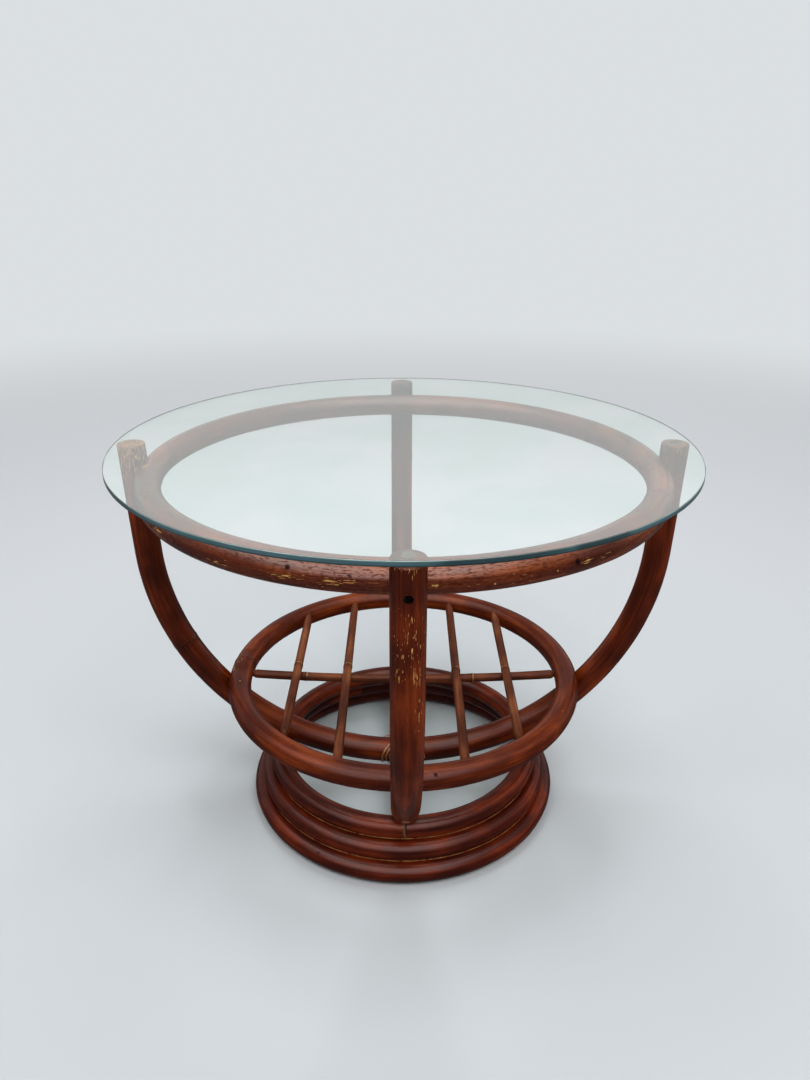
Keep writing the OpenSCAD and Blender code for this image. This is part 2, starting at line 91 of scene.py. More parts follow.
def srgb(red: float, green: float, blue: float) -> Colour:
    """Turns a colour as a screen shows it, each part from 0 to 255, into linear light."""
    parts = [part / 255 for part in (red, green, blue)]
    return tuple(part / 12.92 if part <= 0.04045 else ((part + 0.055) / 1.055) ** 2.4 for part in parts)


# Modelling as by hand


def deselect() -> None:
    """Deselects every object, because an operator acts on all that is selected."""
    for obj in list(bpy.context.selected_objects):
        obj.select_set(False)


def choose(*pieces: bpy.types.Object) -> None:
    """Selects only these pieces and makes the first one active.

    Args:
        pieces: The pieces to select.
    """
    deselect()
    for piece in pieces:
        piece.select_set(True)
    bpy.context.view_layer.objects.active = pieces[0]


@contextmanager
def editing(piece: bpy.types.Object, element: Element = Element.VERTEX) -> Iterator[None]:
    """Opens a piece in edit mode with nothing in it selected.

    Args:
        piece: The piece to shape.
        element: What will be picked in it.
    """
    choose(piece)
    bpy.ops.object.mode_set(mode="EDIT")
    bpy.ops.mesh.select_mode(type=element.value)
    bpy.ops.mesh.select_all(action="DESELECT")
    try:
        yield
    finally:
        bpy.ops.object.mode_set(mode="OBJECT")


def pick_vertices(piece: bpy.types.Object, wanted: Callable[[Places], Places]) -> None:
    """Selects vertices by their places, in edit mode.

    Args:
        piece: The piece in edit mode.
        wanted: Says for an array of places which ones are wanted.
    """
    bpy.ops.mesh.select_all(action="DESELECT")
    cage = bmesh.from_edit_mesh(piece.data)
    chosen = wanted(np.array([vertex.co for vertex in cage.verts]))
    for vertex, is_chosen in zip(cage.verts, chosen):
        vertex.select_set(bool(is_chosen))
    cage.select_flush_mode()
    bmesh.update_edit_mesh(piece.data)


def pick_edges(piece: bpy.types.Object, wanted: Callable[[Places, Places], Places]) -> None:
    """Selects edges by the places of their two ends, in edit mode.

    Args:
        piece: The piece in edit mode.
        wanted: Says for two arrays of places, the edges' ends, which edges are wanted.
    """
    bpy.ops.mesh.select_all(action="DESELECT")
    cage = bmesh.from_edit_mesh(piece.data)
    starts = np.array([edge.verts[0].co for edge in cage.edges])
    ends = np.array([edge.verts[1].co for edge in cage.edges])
    chosen = wanted(starts, ends)
    for edge, is_chosen in zip(cage.edges, chosen):
        if is_chosen:
            edge.select_set(True)
    bmesh.update_edit_mesh(piece.data)


def settle(piece: bpy.types.Object) -> bpy.types.Object:
    """Puts a piece's place, turn and size into its mesh.

    Args:
        piece: The piece to settle.

    Returns:
        The same piece, at the origin.
    """
    choose(piece)
    bpy.ops.object.transform_apply(location=True, rotation=True, scale=True)
    return piece


def apply_all(piece: bpy.types.Object) -> None:
    """Applies a piece's modifiers in order.

    Args:
        piece: The piece.
    """
    choose(piece)
    for modifier in list(piece.modifiers):
        bpy.ops.object.modifier_apply(modifier=modifier.name)


def cut_away(piece: bpy.types.Object, *tools: bpy.types.Object) -> None:
    """Cuts the shape of each tool out of a piece and removes the tools.

    Args:
        piece: The piece to cut.
        tools: Closed shapes.
    """
    for tool in tools:
        modifier = piece.modifiers.new("Cut", "BOOLEAN")
        modifier.operation = "DIFFERENCE"
        modifier.solver = "EXACT"
        modifier.object = tool
        apply_all(piece)
        bpy.data.objects.remove(tool)


def smooth(piece: bpy.types.Object, angle: float = math.radians(38)) -> None:
    """Shades a piece smooth, apart from edges sharper than an angle."""
    choose(piece)
    bpy.ops.object.shade_smooth_by_angle(angle=angle)


def rod(radius: float, length: float, middle: Vector, axis: Vector, sides: int = 48) -> bpy.types.Object:
    """Adds a plain straight rod, used as a cutting tool or as the start of a piece.

    Args:
        radius: Its radius.
        length: Its length.
        middle: The place of its middle.
        axis: The direction that it runs in.
        sides: How many sides it has.

    Returns:
        The rod, settled.
    """
    deselect()
    turn = axis.to_track_quat("Z", "Y").to_euler()
    bpy.ops.mesh.primitive_cylinder_add(
        vertices=sides, radius=radius, depth=length, location=middle, rotation=turn
    )
    return settle(bpy.context.object)


# Poles


@dataclass(frozen=True)
class RingSize:
    """The size of a ring bent from round pole."""

    ring_r: float
    pole_r: float
    z: float

    @classmethod
    def from_node(cls, node: str, flat: float = 0.0) -> "RingSize":
        """Reads a ring's size from the frame.

        Args:
            node: The ring's name there.
            flat: What is cut off its underside.

        Returns:
            The ring's size.
        """
        low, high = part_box(node)
        pole_r = (high.z - low.z + flat) / 2
        return cls((high.x - low.x) / 2 - pole_r, pole_r, high.z - pole_r)


@dataclass
class Pole:
    """A round pole of rattan. Its growth nodes are given as lengths along it."""

    name: str
    pole_r: float
    growth: tuple[float, ...] = ()
    worn: tuple["WornPatch", ...] = ()
    swell: float = 0.0005
    swell_reach: float = 0.007
    swell_more: float = 0.02
    swell_cuts: int = 6
    crest: float = 0.0009
    lengthwise: tuple[float, float] = (0.001, 0.03)
    waviness: float = 0.0005
    wave: float = 0.07
    wave_level: float = 0.8

    def unroll(self, places: Places) -> Places:
        """Gives for each place its length along the pole, then its two offsets from the middle line."""
        raise NotImplementedError

    def shape(self) -> bpy.types.Object:
        """Builds the plain bent pole."""
        raise NotImplementedError

    def build(self) -> bpy.types.Object:
        """Builds the pole with its growth nodes and its slight unevenness.

        Returns:
            The pole, which still has no finish.
        """
        pole = self.shape()
        pole.name = self.name
        pole.data.name = self.name
        self._add_growth(pole)
        self._make_uneven(pole)
        self.trim(pole)
        return pole

    def trim(self, pole: bpy.types.Object) -> None:
        """Saws flat what must be flat, once the pole is uneven. A plain pole needs no trimming."""

    def _add_growth(self, pole: bpy.types.Object) -> None:
        """Adds loops round each growth node and swells the pole there.

        Args:
            pole: The pole to shape.
        """
        if not self.growth:
            return
        with editing(pole, Element.EDGE):
            for at in self.growth:
                pick_edges(pole, lambda starts, ends, at=at: self._runs_over(starts, ends, at))
                bpy.ops.mesh.subdivide(number_cuts=self.swell_cuts)
        with editing(pole):
            for at in self.growth:
                pick_vertices(pole, lambda places, at=at: np.abs(self.unroll(places)[:, 0] - at) < self.crest)
                bpy.ops.transform.shrink_fatten(
                    value=self.swell,
                    use_proportional_edit=True,
                    proportional_edit_falloff="SHARP",
                    proportional_size=self.pole_r * self.swell_more + self.swell_reach,
                )

    def _runs_over(self, starts: Places, ends: Places, at: float) -> Places:
        """Finds the lengthwise edges near a growth node.

        Args:
            starts: The edges' first ends.
            ends: The edges' second ends.
            at: Where the growth node is, along the pole.

        Returns:
            Which edges run along the pole and reach the growth node.
        """
        first, second = self.unroll(starts)[:, 0], self.unroll(ends)[:, 0]
        low, high = np.minimum(first, second), np.maximum(first, second)
        near = (low < at + self.swell_reach) & (high > at - self.swell_reach)
        shortest, longest = self.lengthwise
        return near & (high - low > shortest) & (high - low < longest)

    def _make_uneven(self, pole: bpy.types.Object) -> None:
        """Gives the pole the slight unevenness of a grown stem.

        Args:
            pole: The pole to shape.
        """
        unevenness = bpy.data.textures.new(self.name + "_unevenness", "CLOUDS")
        unevenness.noise_scale = self.wave
        modifier = pole.modifiers.new("Unevenness", "DISPLACE")
        modifier.texture = unevenness
        modifier.texture_coords = "LOCAL"
        modifier.strength = self.waviness
        modifier.mid_level = self.wave_level
        apply_all(pole)

    def mark(self, pole: bpy.types.Object) -> None:
        """Writes where each vertex lies on the pole, for the grain, the growth nodes and the wear.

        Args:
            pole: The finished mesh.
        """
        mesh = pole.data
        places = np.empty(len(mesh.vertices) * 3)
        mesh.vertices.foreach_get("co", places)
        places = places.reshape(-1, 3)
        along = self.unroll(places)
        gaps = np.full(len(along), 1.0)
        for at in self.growth:
            gap = along[:, 0] - at
            gaps = np.where(np.abs(gap) < np.abs(gaps), gap, gaps)
        wear = np.zeros(len(along))
        for patch in self.worn:
            wear = np.maximum(wear, patch.strength(places))
        grain = mesh.attributes.new("grain", "FLOAT_VECTOR", "POINT")
        grain.data.foreach_set("vector", along.ravel())
        for title, values in (("growth_gap", gaps), ("wear", wear)):
            attribute = mesh.attributes.new(title, "FLOAT", "POINT")
            attribute.data.foreach_set("value", values)


@dataclass(frozen=True)
class WornPatch:
    """A stretch where the lacquer is chipped or rubbed through: how much, round a place, within a reach."""

    middle: Triple
    reach: Triple
    amount: float = 1.0

    def strength(self, places: Places) -> Places:
        """Says how worn places in the table's frame are, from 0, sound, to the patch's amount."""
        distance = np.linalg.norm((places - np.array(self.middle)) / np.array(self.reach), axis=1)
        return self.amount * np.clip(1 - distance, 0, 1) ** 0.5


@dataclass(frozen=True)
class Mark:
    """A small round spot in the lacquer, at a place in the table's frame."""

    middle: Triple
    radius: float
    amount: float = 1.0


@dataclass(kw_only=True)
class RingPole(Pole):
    """A pole bent into a ring and closed by one butt joint."""

    size: RingSize
    joint_at: float = 0.0
    joint_gap: float = 0.0004
    joint_rim: float = 0.0004
    steps: int = 288
    flat_z: float | None = None

    def unroll(self, places: Places) -> Places:
        """Straightens the ring out from its joint.

        Args:
            places: Places on the ring, one a row.

        Returns:
            For each place its length along the ring, then its offsets outwards and upwards.
        """
        bearing = np.mod(np.arctan2(places[:, 1], places[:, 0]) - self.joint_at, 2 * math.pi)
        out = np.hypot(places[:, 0], places[:, 1]) - self.size.ring_r
        return np.stack([bearing * self.size.ring_r, out, places[:, 2] - self.size.z], axis=1)

    def shape(self) -> bpy.types.Object:
        """Spins a circle round the table's middle, from one side of the joint to the other.

        Returns:
            The closed ring with its two sawn ends.
        """
        deselect()
        ring_r, z = self.size.ring_r, self.size.z
        start = self.joint_at + self.joint_gap / 2 / ring_r
        bpy.ops.mesh.primitive_circle_add(
            vertices=POLE_SIDES,
            radius=self.size.pole_r,
            location=(ring_r * math.cos(start), ring_r * math.sin(start), z),
            rotation=(math.pi / 2, 0, start),
        )
        ring = settle(bpy.context.object)
        with editing(ring):
            bpy.ops.mesh.select_all(action="SELECT")
            turn = 2 * math.pi - self.joint_gap / ring_r
            bpy.ops.mesh.spin(steps=self.steps, angle=turn, center=(0, 0, z), axis=(0, 0, 1))
            bpy.ops.mesh.select_all(action="SELECT")
            bpy.ops.mesh.fill_holes(sides=0)
            bpy.ops.mesh.normals_make_consistent(inside=False)
        self._ease_ends(ring)
        return ring

    def trim(self, pole: bpy.types.Object) -> None:
        """Saws the flat that the ring stands on, if it has one.

        Args:
            pole: The ring.
        """
        if self.flat_z is None:
            return
        with editing(pole):
            bpy.ops.mesh.select_all(action="SELECT")
            bpy.ops.mesh.bisect(
                plane_co=(0, 0, self.flat_z),
                plane_no=(0, 0, -1),
                use_fill=True,
                clear_outer=True,
                threshold=CUT_MERGE,
            )

    def _ease_ends(self, ring: bpy.types.Object) -> None:
        """Rounds the rims of the sawn ends a little.

        Args:
            ring: The ring.
        """
        length = 2 * math.pi * self.size.ring_r
        with editing(ring, Element.EDGE):
            pick_edges(
                ring,
                lambda starts, ends: np.all(
                    [
                        np.minimum(self.unroll(side)[:, 0], length - self.unroll(side)[:, 0]) < self.joint_gap
                        for side in (starts, ends)
                    ],
                    axis=0,
                ),
            )
            bpy.ops.mesh.bevel(offset=self.joint_rim, segments=2)

    def tool(self) -> bpy.types.Object:
        """Adds the shape that this ring cuts out of a bow, with its clearance.

        Returns:
            A closed ring.
        """
        deselect()
        bpy.ops.mesh.primitive_torus_add(
            major_radius=self.size.ring_r,
            minor_radius=self.size.pole_r + FIT,
            major_segments=self.steps,
            minor_segments=POLE_SIDES * 2,
            location=(0, 0, self.size.z),
        )
        return settle(bpy.context.object)


@dataclass(kw_only=True)
class BowPole(Pole):
    """A pole bent down and up again, with two straight leaning legs."""

    bow_r: float
    centre_z: float
    top_z: float
    turn: float
    rim: float = 0.002
    arc_steps: int = 90
    leg_steps: int = 24

    @classmethod
    def like_lower(cls, name: str, bearing: Bearing, **more: object) -> "BowPole":
        """Takes the size of the lower bow, which has its lowest point and is bent like the upper one.

        Args:
            name: The new bow's name.
            bearing: The direction of its first leg.
            more: Other fields.

        Returns:
            The bow.
        """
        low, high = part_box("bow_front_back")
        pole_r = (high.x - low.x) / 2
        top_x = high.y - pole_r / math.cos(LEG_LEAN)
        low_z = low.z + pole_r
        tangent = math.tan(LEG_LEAN)
        stretch = math.cos(LEG_LEAN) - tangent + math.sin(LEG_LEAN) * tangent
        bow_r = (top_x - (high.z - low_z) * tangent) / stretch
        return cls(name, pole_r, bow_r=bow_r, centre_z=low_z + bow_r, top_z=high.z, turn=bearing.turn, **more)

    @property
    def low_z(self) -> float:
        """The height of the middle line at its lowest."""
        return self.centre_z - self.bow_r

    @property
    def arc_end(self) -> tuple[float, float]:
        """How far out and how high the arc ends."""
        return self.bow_r * math.cos(LEG_LEAN), self.centre_z - self.bow_r * math.sin(LEG_LEAN)

    def unroll(self, places: Places) -> Places:
        """Straightens the bow out from its lowest point.

        Args:
            places: Places on the bow, one a row.

        Returns:
            For each place its length along the bow, then its offsets outwards and sideways.
        """
        ahead = places[:, 0] * math.cos(self.turn) + places[:, 1] * math.sin(self.turn)
        aside = places[:, 1] * math.cos(self.turn) - places[:, 0] * math.sin(self.turn)
        drop = self.centre_z - places[:, 2]
        angle = np.arctan2(np.abs(ahead), drop)
        end = math.pi / 2 - LEG_LEAN
        end_x, end_z = self.arc_end
        past = (np.abs(ahead) - end_x) * math.sin(LEG_LEAN) + (places[:, 2] - end_z) * math.cos(LEG_LEAN)
        out = (np.abs(ahead) - end_x) * math.cos(LEG_LEAN) - (places[:, 2] - end_z) * math.sin(LEG_LEAN)
        on_leg = angle > end
        along = np.where(on_leg, self.bow_r * end + past, self.bow_r * angle) * np.sign(ahead)
        offset = np.where(on_leg, out, np.hypot(ahead, drop) - self.bow_r)
        return np.stack([along, offset, aside], axis=1)

    def shape(self) -> bpy.types.Object:
        """Spins half of the bow from its lowest point, draws its leg out and mirrors it.

        Returns:
            The closed bow.
        """
        deselect()
        bpy.ops.mesh.primitive_circle_add(
            vertices=POLE_SIDES,
            radius=self.pole_r,
            location=(0, 0, self.low_z),
            rotation=(0, math.pi / 2, 0),
        )
        bow = settle(bpy.context.object)
        leg_length = (self.top_z - self.arc_end[1]) / math.cos(LEG_LEAN) + self.pole_r
        step = Vector((math.sin(LEG_LEAN), 0, math.cos(LEG_LEAN))) * leg_length / self.leg_steps
        with editing(bow):
            bpy.ops.mesh.select_all(action="SELECT")
            bpy.ops.mesh.spin(
                steps=self.arc_steps,
                angle=math.pi / 2 - LEG_LEAN,
                center=(0, 0, self.centre_z),
                axis=(0, 1, 0),
            )
            for _ in range(self.leg_steps):
                bpy.ops.mesh.extrude_region_move(TRANSFORM_OT_translate={"value": step})
            bpy.ops.mesh.edge_face_add()
        mirror = bow.modifiers.new("Mirror", "MIRROR")
        mirror.use_clip = True
        mirror.merge_threshold = MIRROR_MERGE
        apply_all(bow)
        with editing(bow):
            bpy.ops.mesh.select_all(action="SELECT")
            bpy.ops.mesh.normals_make_consistent(inside=False)
        bow.rotation_euler.z = self.turn
        return settle(bow)

    def trim(self, pole: bpy.types.Object) -> None:
        """Saws both legs off level and eases the rims of their tops.

        Args:
            pole: The bow.
        """
        with editing(pole):
            bpy.ops.mesh.select_all(action="SELECT")
            bpy.ops.mesh.bisect(
                plane_co=(0, 0, self.top_z),
                plane_no=(0, 0, 1),
                use_fill=True,
                clear_outer=True,
                threshold=CUT_MERGE,
            )
            bpy.ops.mesh.bevel(offset=self.rim, segments=4, affect="EDGES")

    def lap_tool(self, takes_lower: bool) -> bpy.types.Object:
        """Adds the shape that the other bow cuts out at the crossing.

        Args:
            takes_lower: Whether the lower half goes, and not the upper one.

        Returns:
            Half a rod along this bow.
        """
        ahead = Vector((math.cos(self.turn), math.sin(self.turn), 0))
        middle = Vector((0, 0, self.low_z))
        tool = rod(self.pole_r + FIT, self.pole_r * 4, middle, ahead, POLE_SIDES * 2)
        away = 1 if takes_lower else -1
        with editing(tool):
            bpy.ops.mesh.select_all(action="SELECT")
            bpy.ops.mesh.bisect(plane_co=middle, plane_no=(0, 0, away), use_fill=True, clear_outer=True)
        return tool

    def point(self, bearing: Bearing, z: float, outwards: float = 0.0) -> Vector:
        """Gives a place on the middle line.

        Args:
            bearing: The leg.
            z: The height.
            outwards: How far out from the middle line.

        Returns:
            The place.
        """
        end_x, end_z = self.arc_end
        if z > end_z:
            reach = end_x + (z - end_z) * math.tan(LEG_LEAN)
        else:
            reach = math.sqrt(self.bow_r**2 - (self.centre_z - z) ** 2)
        reach += outwards
        return Vector((reach * math.cos(bearing.turn), reach * math.sin(bearing.turn), z))


@dataclass(kw_only=True)
class SpindlePole(Pole):
    """A thin spindle with whittled ends in the shelf ring. It may sag."""

    middle: Vector
    length: float
    turn: float
    sag: float = 0.0
    start_taper: float = 0.004
    end_taper: float = 0.004
    taper_bulge: float = 0.6
    tenon_r: float = 0.004
    tenon_l: float = 0.01
    steps: int = 56
    sides: int = 20

    @property
    def sag_r(self) -> float:
        """The radius of the sagging line."""
        half = self.length / 2
        return (half**2 + self.sag**2) / (2 * self.sag)

    def unroll(self, places: Places) -> Places:
        """Straightens the spindle out from its middle.

        Args:
            places: Places on the spindle, one a row.

        Returns:
            For each place its length along the spindle, then its offsets sideways and upwards.
        """
        moved = places - np.array(self.middle)
        along = moved[:, 0] * math.cos(self.turn) + moved[:, 1] * math.sin(self.turn)
        aside = moved[:, 1] * math.cos(self.turn) - moved[:, 0] * math.sin(self.turn)
        up = moved[:, 2]
        if self.sag:
            up = up - (self.sag_r - np.sqrt(self.sag_r**2 - along**2))
        return np.stack([along, aside, up], axis=1)

    def _stations(self) -> list[tuple[float, float]]:
        """Lists places along the spindle, from tip to tip.

        Returns:
            Each place with the spindle's radius there.
        """
        half = self.length / 2
        start, end = self.start_taper - half, half - self.end_taper
        body = [(start + (end - start) * step / self.steps, self.pole_r) for step in range(self.steps + 1)]
        bulge = self.tenon_r + (self.pole_r - self.tenon_r) * self.taper_bulge
        return [
            (-half - self.tenon_l, self.tenon_r),
            (-half, self.tenon_r),
            (-half + self.start_taper / 2, bulge),
            *body,
            (half - self.end_taper / 2, bulge),
            (half, self.tenon_r),
            (half + self.tenon_l, self.tenon_r),
        ]

    def shape(self) -> bpy.types.Object:
        """Draws the spindle out from one tip to the other and bends it.

        Returns:
            The closed spindle.
        """
        deselect()
        (place, radius), *others = self._stations()
        bpy.ops.mesh.primitive_circle_add(
            vertices=self.sides,
            radius=radius,
            fill_type="NGON",
            location=(place, 0, 0),
            rotation=(0, math.pi / 2, 0),
        )
        spindle = settle(bpy.context.object)
        with editing(spindle):
            bpy.ops.mesh.select_all(action="SELECT")
            for next_place, next_radius in others:
                step = (next_place - place, 0, 0)
                bpy.ops.mesh.extrude_region_move(TRANSFORM_OT_translate={"value": step})
                scale = next_radius / radius
                bpy.ops.transform.resize(value=(1, scale, scale), center_override=(next_place, 0, 0))
                place, radius = next_place, next_radius
            bpy.ops.mesh.select_all(action="SELECT")
            bpy.ops.mesh.normals_make_consistent(inside=False)
        if self.sag:
            bend = spindle.modifiers.new("Sag", "SIMPLE_DEFORM")
            bend.deform_method = "BEND"
            bend.deform_axis = "Z"
            bend.angle = (self.length + 2 * self.tenon_l) / self.sag_r
            apply_all(spindle)
            spindle.rotation_euler.x = math.pi / 2
            settle(spindle)
        spindle.rotation_euler.z = self.turn
        spindle.location = self.middle
        return settle(spindle)


# Binding


@dataclass(frozen=True)
class StripWinding:
    """The rattan strip wound over the crossing of the bows, along one diagonal and then the other.

    Its section is given as shares of half its width and half its thickness.
    """

    low_z: float
    bow_r: float
    pole_r: float
    width: float = 0.003
    thickness: float = 0.0011
    pitch: float = 0.0036
    turns: int = 5
    turn_steps: int = 24
    layer_gap: float = 0.0012
    link_steps: int = 11
    section: tuple[tuple[float, float], ...] = (
        (-1, -0.75),
        (-1, 0.1),
        (-0.72, 0.7),
        (0, 1),
        (0.72, 0.7),
        (1, 0.1),
        (1, -0.75),
        (0, -1),
    )

    @property
    def _layers(self) -> tuple[float, float]:
        """How far the middles of the two layers lie off the wood."""
        first = 2 * FIT + self.thickness / 2
        return first, first + self.thickness + self.layer_gap

    def _spread(self, step: int, last: int) -> float:
        """Says how far a turn lies from its diagonal, at a step along its layer."""
        span = self.pitch * (self.turns - 0.5) / 2
        return -span + 2 * span * step / last

    def _over_crossing(self, angle: float, across: float, layer: float, flip: int) -> tuple[Vector, Vector]:
        """Gives one point of a turn over the crossing.

        Args:
            angle: How far round the turn is, 90 degrees at the top.
            across: The turn's offset from its diagonal.
            layer: How far it lies off the wood.
            flip: Which diagonal it follows, 1 or -1.

        Returns:
            The point and the direction out of the wood.
        """
        reach = self.pole_r * math.sqrt(2) + self._layers[0]
        level = math.copysign(1, math.cos(angle))
        along = reach * math.cos(angle) + (abs(across) + self.width / 2) * level
        x = (along - flip * across) / math.sqrt(2)
        y = (flip * along + across) / math.sqrt(2)
        over_top = (1 + math.sin(angle)) / 2
        high, low = max(x * x, y * y), min(x * x, y * y)
        rise = (high * over_top + low * (1 - over_top)) / (2 * self.bow_r)
        z = self.low_z + (self.pole_r + layer) * math.sin(angle) + rise
        out = Vector((math.cos(angle) / math.sqrt(2), flip * math.cos(angle) / math.sqrt(2), math.sin(angle)))
        return Vector((x, y, z)), out

    def path(self) -> list[tuple[Vector, Vector]]:
        """Lays the strip out.

        Returns:
            Points along the strip, each with the direction out of the wood.
        """
        last = (360 * self.turns - 180) * self.turn_steps // 360
        angles = [2 * math.pi * (step + 0.5) / self.turn_steps for step in range(last + 1)]
        spreads = [self._spread(step, last) for step in range(last + 1)]
        first_layer, second_layer = self._layers
        first = [
            self._over_crossing(angle, spread, first_layer, 1) for angle, spread in zip(angles, spreads)
        ]
        second = [
            self._over_crossing(math.pi - angle, spread, second_layer, -1)
            for angle, spread in zip(angles, spreads)
        ]
        return first + self._link(first[-1][0].x, second[0][0].x) + second

    def _link(self, start_x: float, end_x: float) -> list[tuple[Vector, Vector]]:
        """Takes the strip under one arm, from the first layer to the second.

        Args:
            start_x: Where the first layer ends.
            end_x: Where the second layer starts.

        Returns:
            Points and directions as in path.
        """
        link_r = self.pole_r + self._layers[0] + 3 * FIT
        points = []
        for step in range(1, self.link_steps + 1):
            angle = math.pi * step / (self.link_steps + 1)
            x = start_x + (end_x - start_x) * (1 - math.cos(angle)) / 2
            arm_z = self.low_z + x * x / (2 * self.bow_r)
            place = Vector((x, -link_r * math.cos(angle), arm_z - link_r * math.sin(angle)))
            points.append((place, Vector((0, -math.cos(angle), -math.sin(angle)))))
        return points

    def build(self) -> bpy.types.Object:
        """Lays the strip's flat section along its path, the domed peel outwards.

        Returns:
            The closed strip, which still has no finish.
        """
        path = self.path()
        places, grain = [], []
        length = 0.0
        for step, (place, raw_out) in enumerate(path):
            before, after = path[max(step - 1, 0)][0], path[min(step + 1, len(path) - 1)][0]
            along = (after - before).normalized()
            out = (raw_out - along * raw_out.dot(along)).normalized()
            side = along.cross(out)
            length += (place - before).length
            for across, up in self.section:
                places.append(place + side * across * self.width / 2 + out * up * self.thickness / 2)
                grain.append((length, across * self.width / 2, up * self.thickness / 2))
        count = len(self.section)
        faces = [
            (ring + k, ring + (k + 1) % count, ring + count + (k + 1) % count, ring + count + k)
            for ring in range(0, count * (len(path) - 1), count)
            for k in range(count)
        ]
        last = count * (len(path) - 1)
        faces += [tuple(reversed(range(count))), tuple(range(last, last + count))]
        mesh = bpy.data.meshes.new("peel_binding")
        mesh.from_pydata([tuple(place) for place in places], [], faces)
        attribute = mesh.attributes.new("grain", "FLOAT_VECTOR", "POINT")
        attribute.data.foreach_set("vector", np.array(grain).ravel())
        strip = bpy.data.objects.new("peel_binding", mesh)
        bpy.context.scene.collection.objects.link(strip)
        with editing(strip):
            bpy.ops.mesh.select_all(action="SELECT")
            bpy.ops.mesh.normals_make_consistent(inside=False)
        subdivision = strip.modifiers.new("Subdivision", "SUBSURF")
        subdivision.levels = 1
        subdivision.render_levels = 1
        apply_all(strip)
        smooth(strip)
        return strip


# Finishes


Operand = "Wire | float"

SEED_SHIFT = (7.31, 3.77, 5.13)


class Wire:
    """A value in a material, with the usual arithmetic, each step of which adds a Math node."""

    def __init__(self, paint: "Paint", socket: bpy.types.NodeSocket) -> None:
        """Wraps an output socket of a material."""
        self.paint = paint
        self.socket = socket

    def _math(self, operation: str, first: Operand, second: Operand) -> "Wire":
        """Adds a Math node for two values and gives its result."""
        return self.paint.wire("ShaderNodeMath", {"operation": operation}, {0: first, 1: second})

    def __add__(self, other: Operand) -> "Wire":
        """Adds two values."""
        return self._math("ADD", self, other)

    __radd__ = __add__

    def __sub__(self, other: Operand) -> "Wire":
        """Takes one value from another."""
        return self._math("SUBTRACT", self, other)

    def __rsub__(self, other: Operand) -> "Wire":
        """Takes this value from a number."""
        return self._math("SUBTRACT", other, self)

    def __mul__(self, other: Operand) -> "Wire":
        """Multiplies two values."""
        return self._math("MULTIPLY", self, other)

    __rmul__ = __mul__

    def __truediv__(self, other: Operand) -> "Wire":
        """Divides one value by another."""
        return self._math("DIVIDE", self, other)

    def __abs__(self) -> "Wire":
        """Drops the sign."""
        return self._math("ABSOLUTE", self, 0.0)

    def most(self, other: Operand) -> "Wire":
        """Takes the larger of two values."""
        return self._math("MAXIMUM", self, other)

    def rise(self, start: float, end: float) -> "Wire":
        """Goes smoothly from 0 to 1 while this value goes from start to end, which may lie below start.

        Args:
            start: Where the result is 0.
            end: Where it is 1.

        Returns:
            The eased value.
        """
        settings = {"interpolation_type": "SMOOTHSTEP"}
        if start < end:
            inputs = {0: self, 1: start, 2: end, 3: 0.0, 4: 1.0}
        else:
            inputs = {0: self, 1: end, 2: start, 3: 1.0, 4: 0.0}
        return self.paint.wire("ShaderNodeMapRange", settings, inputs)


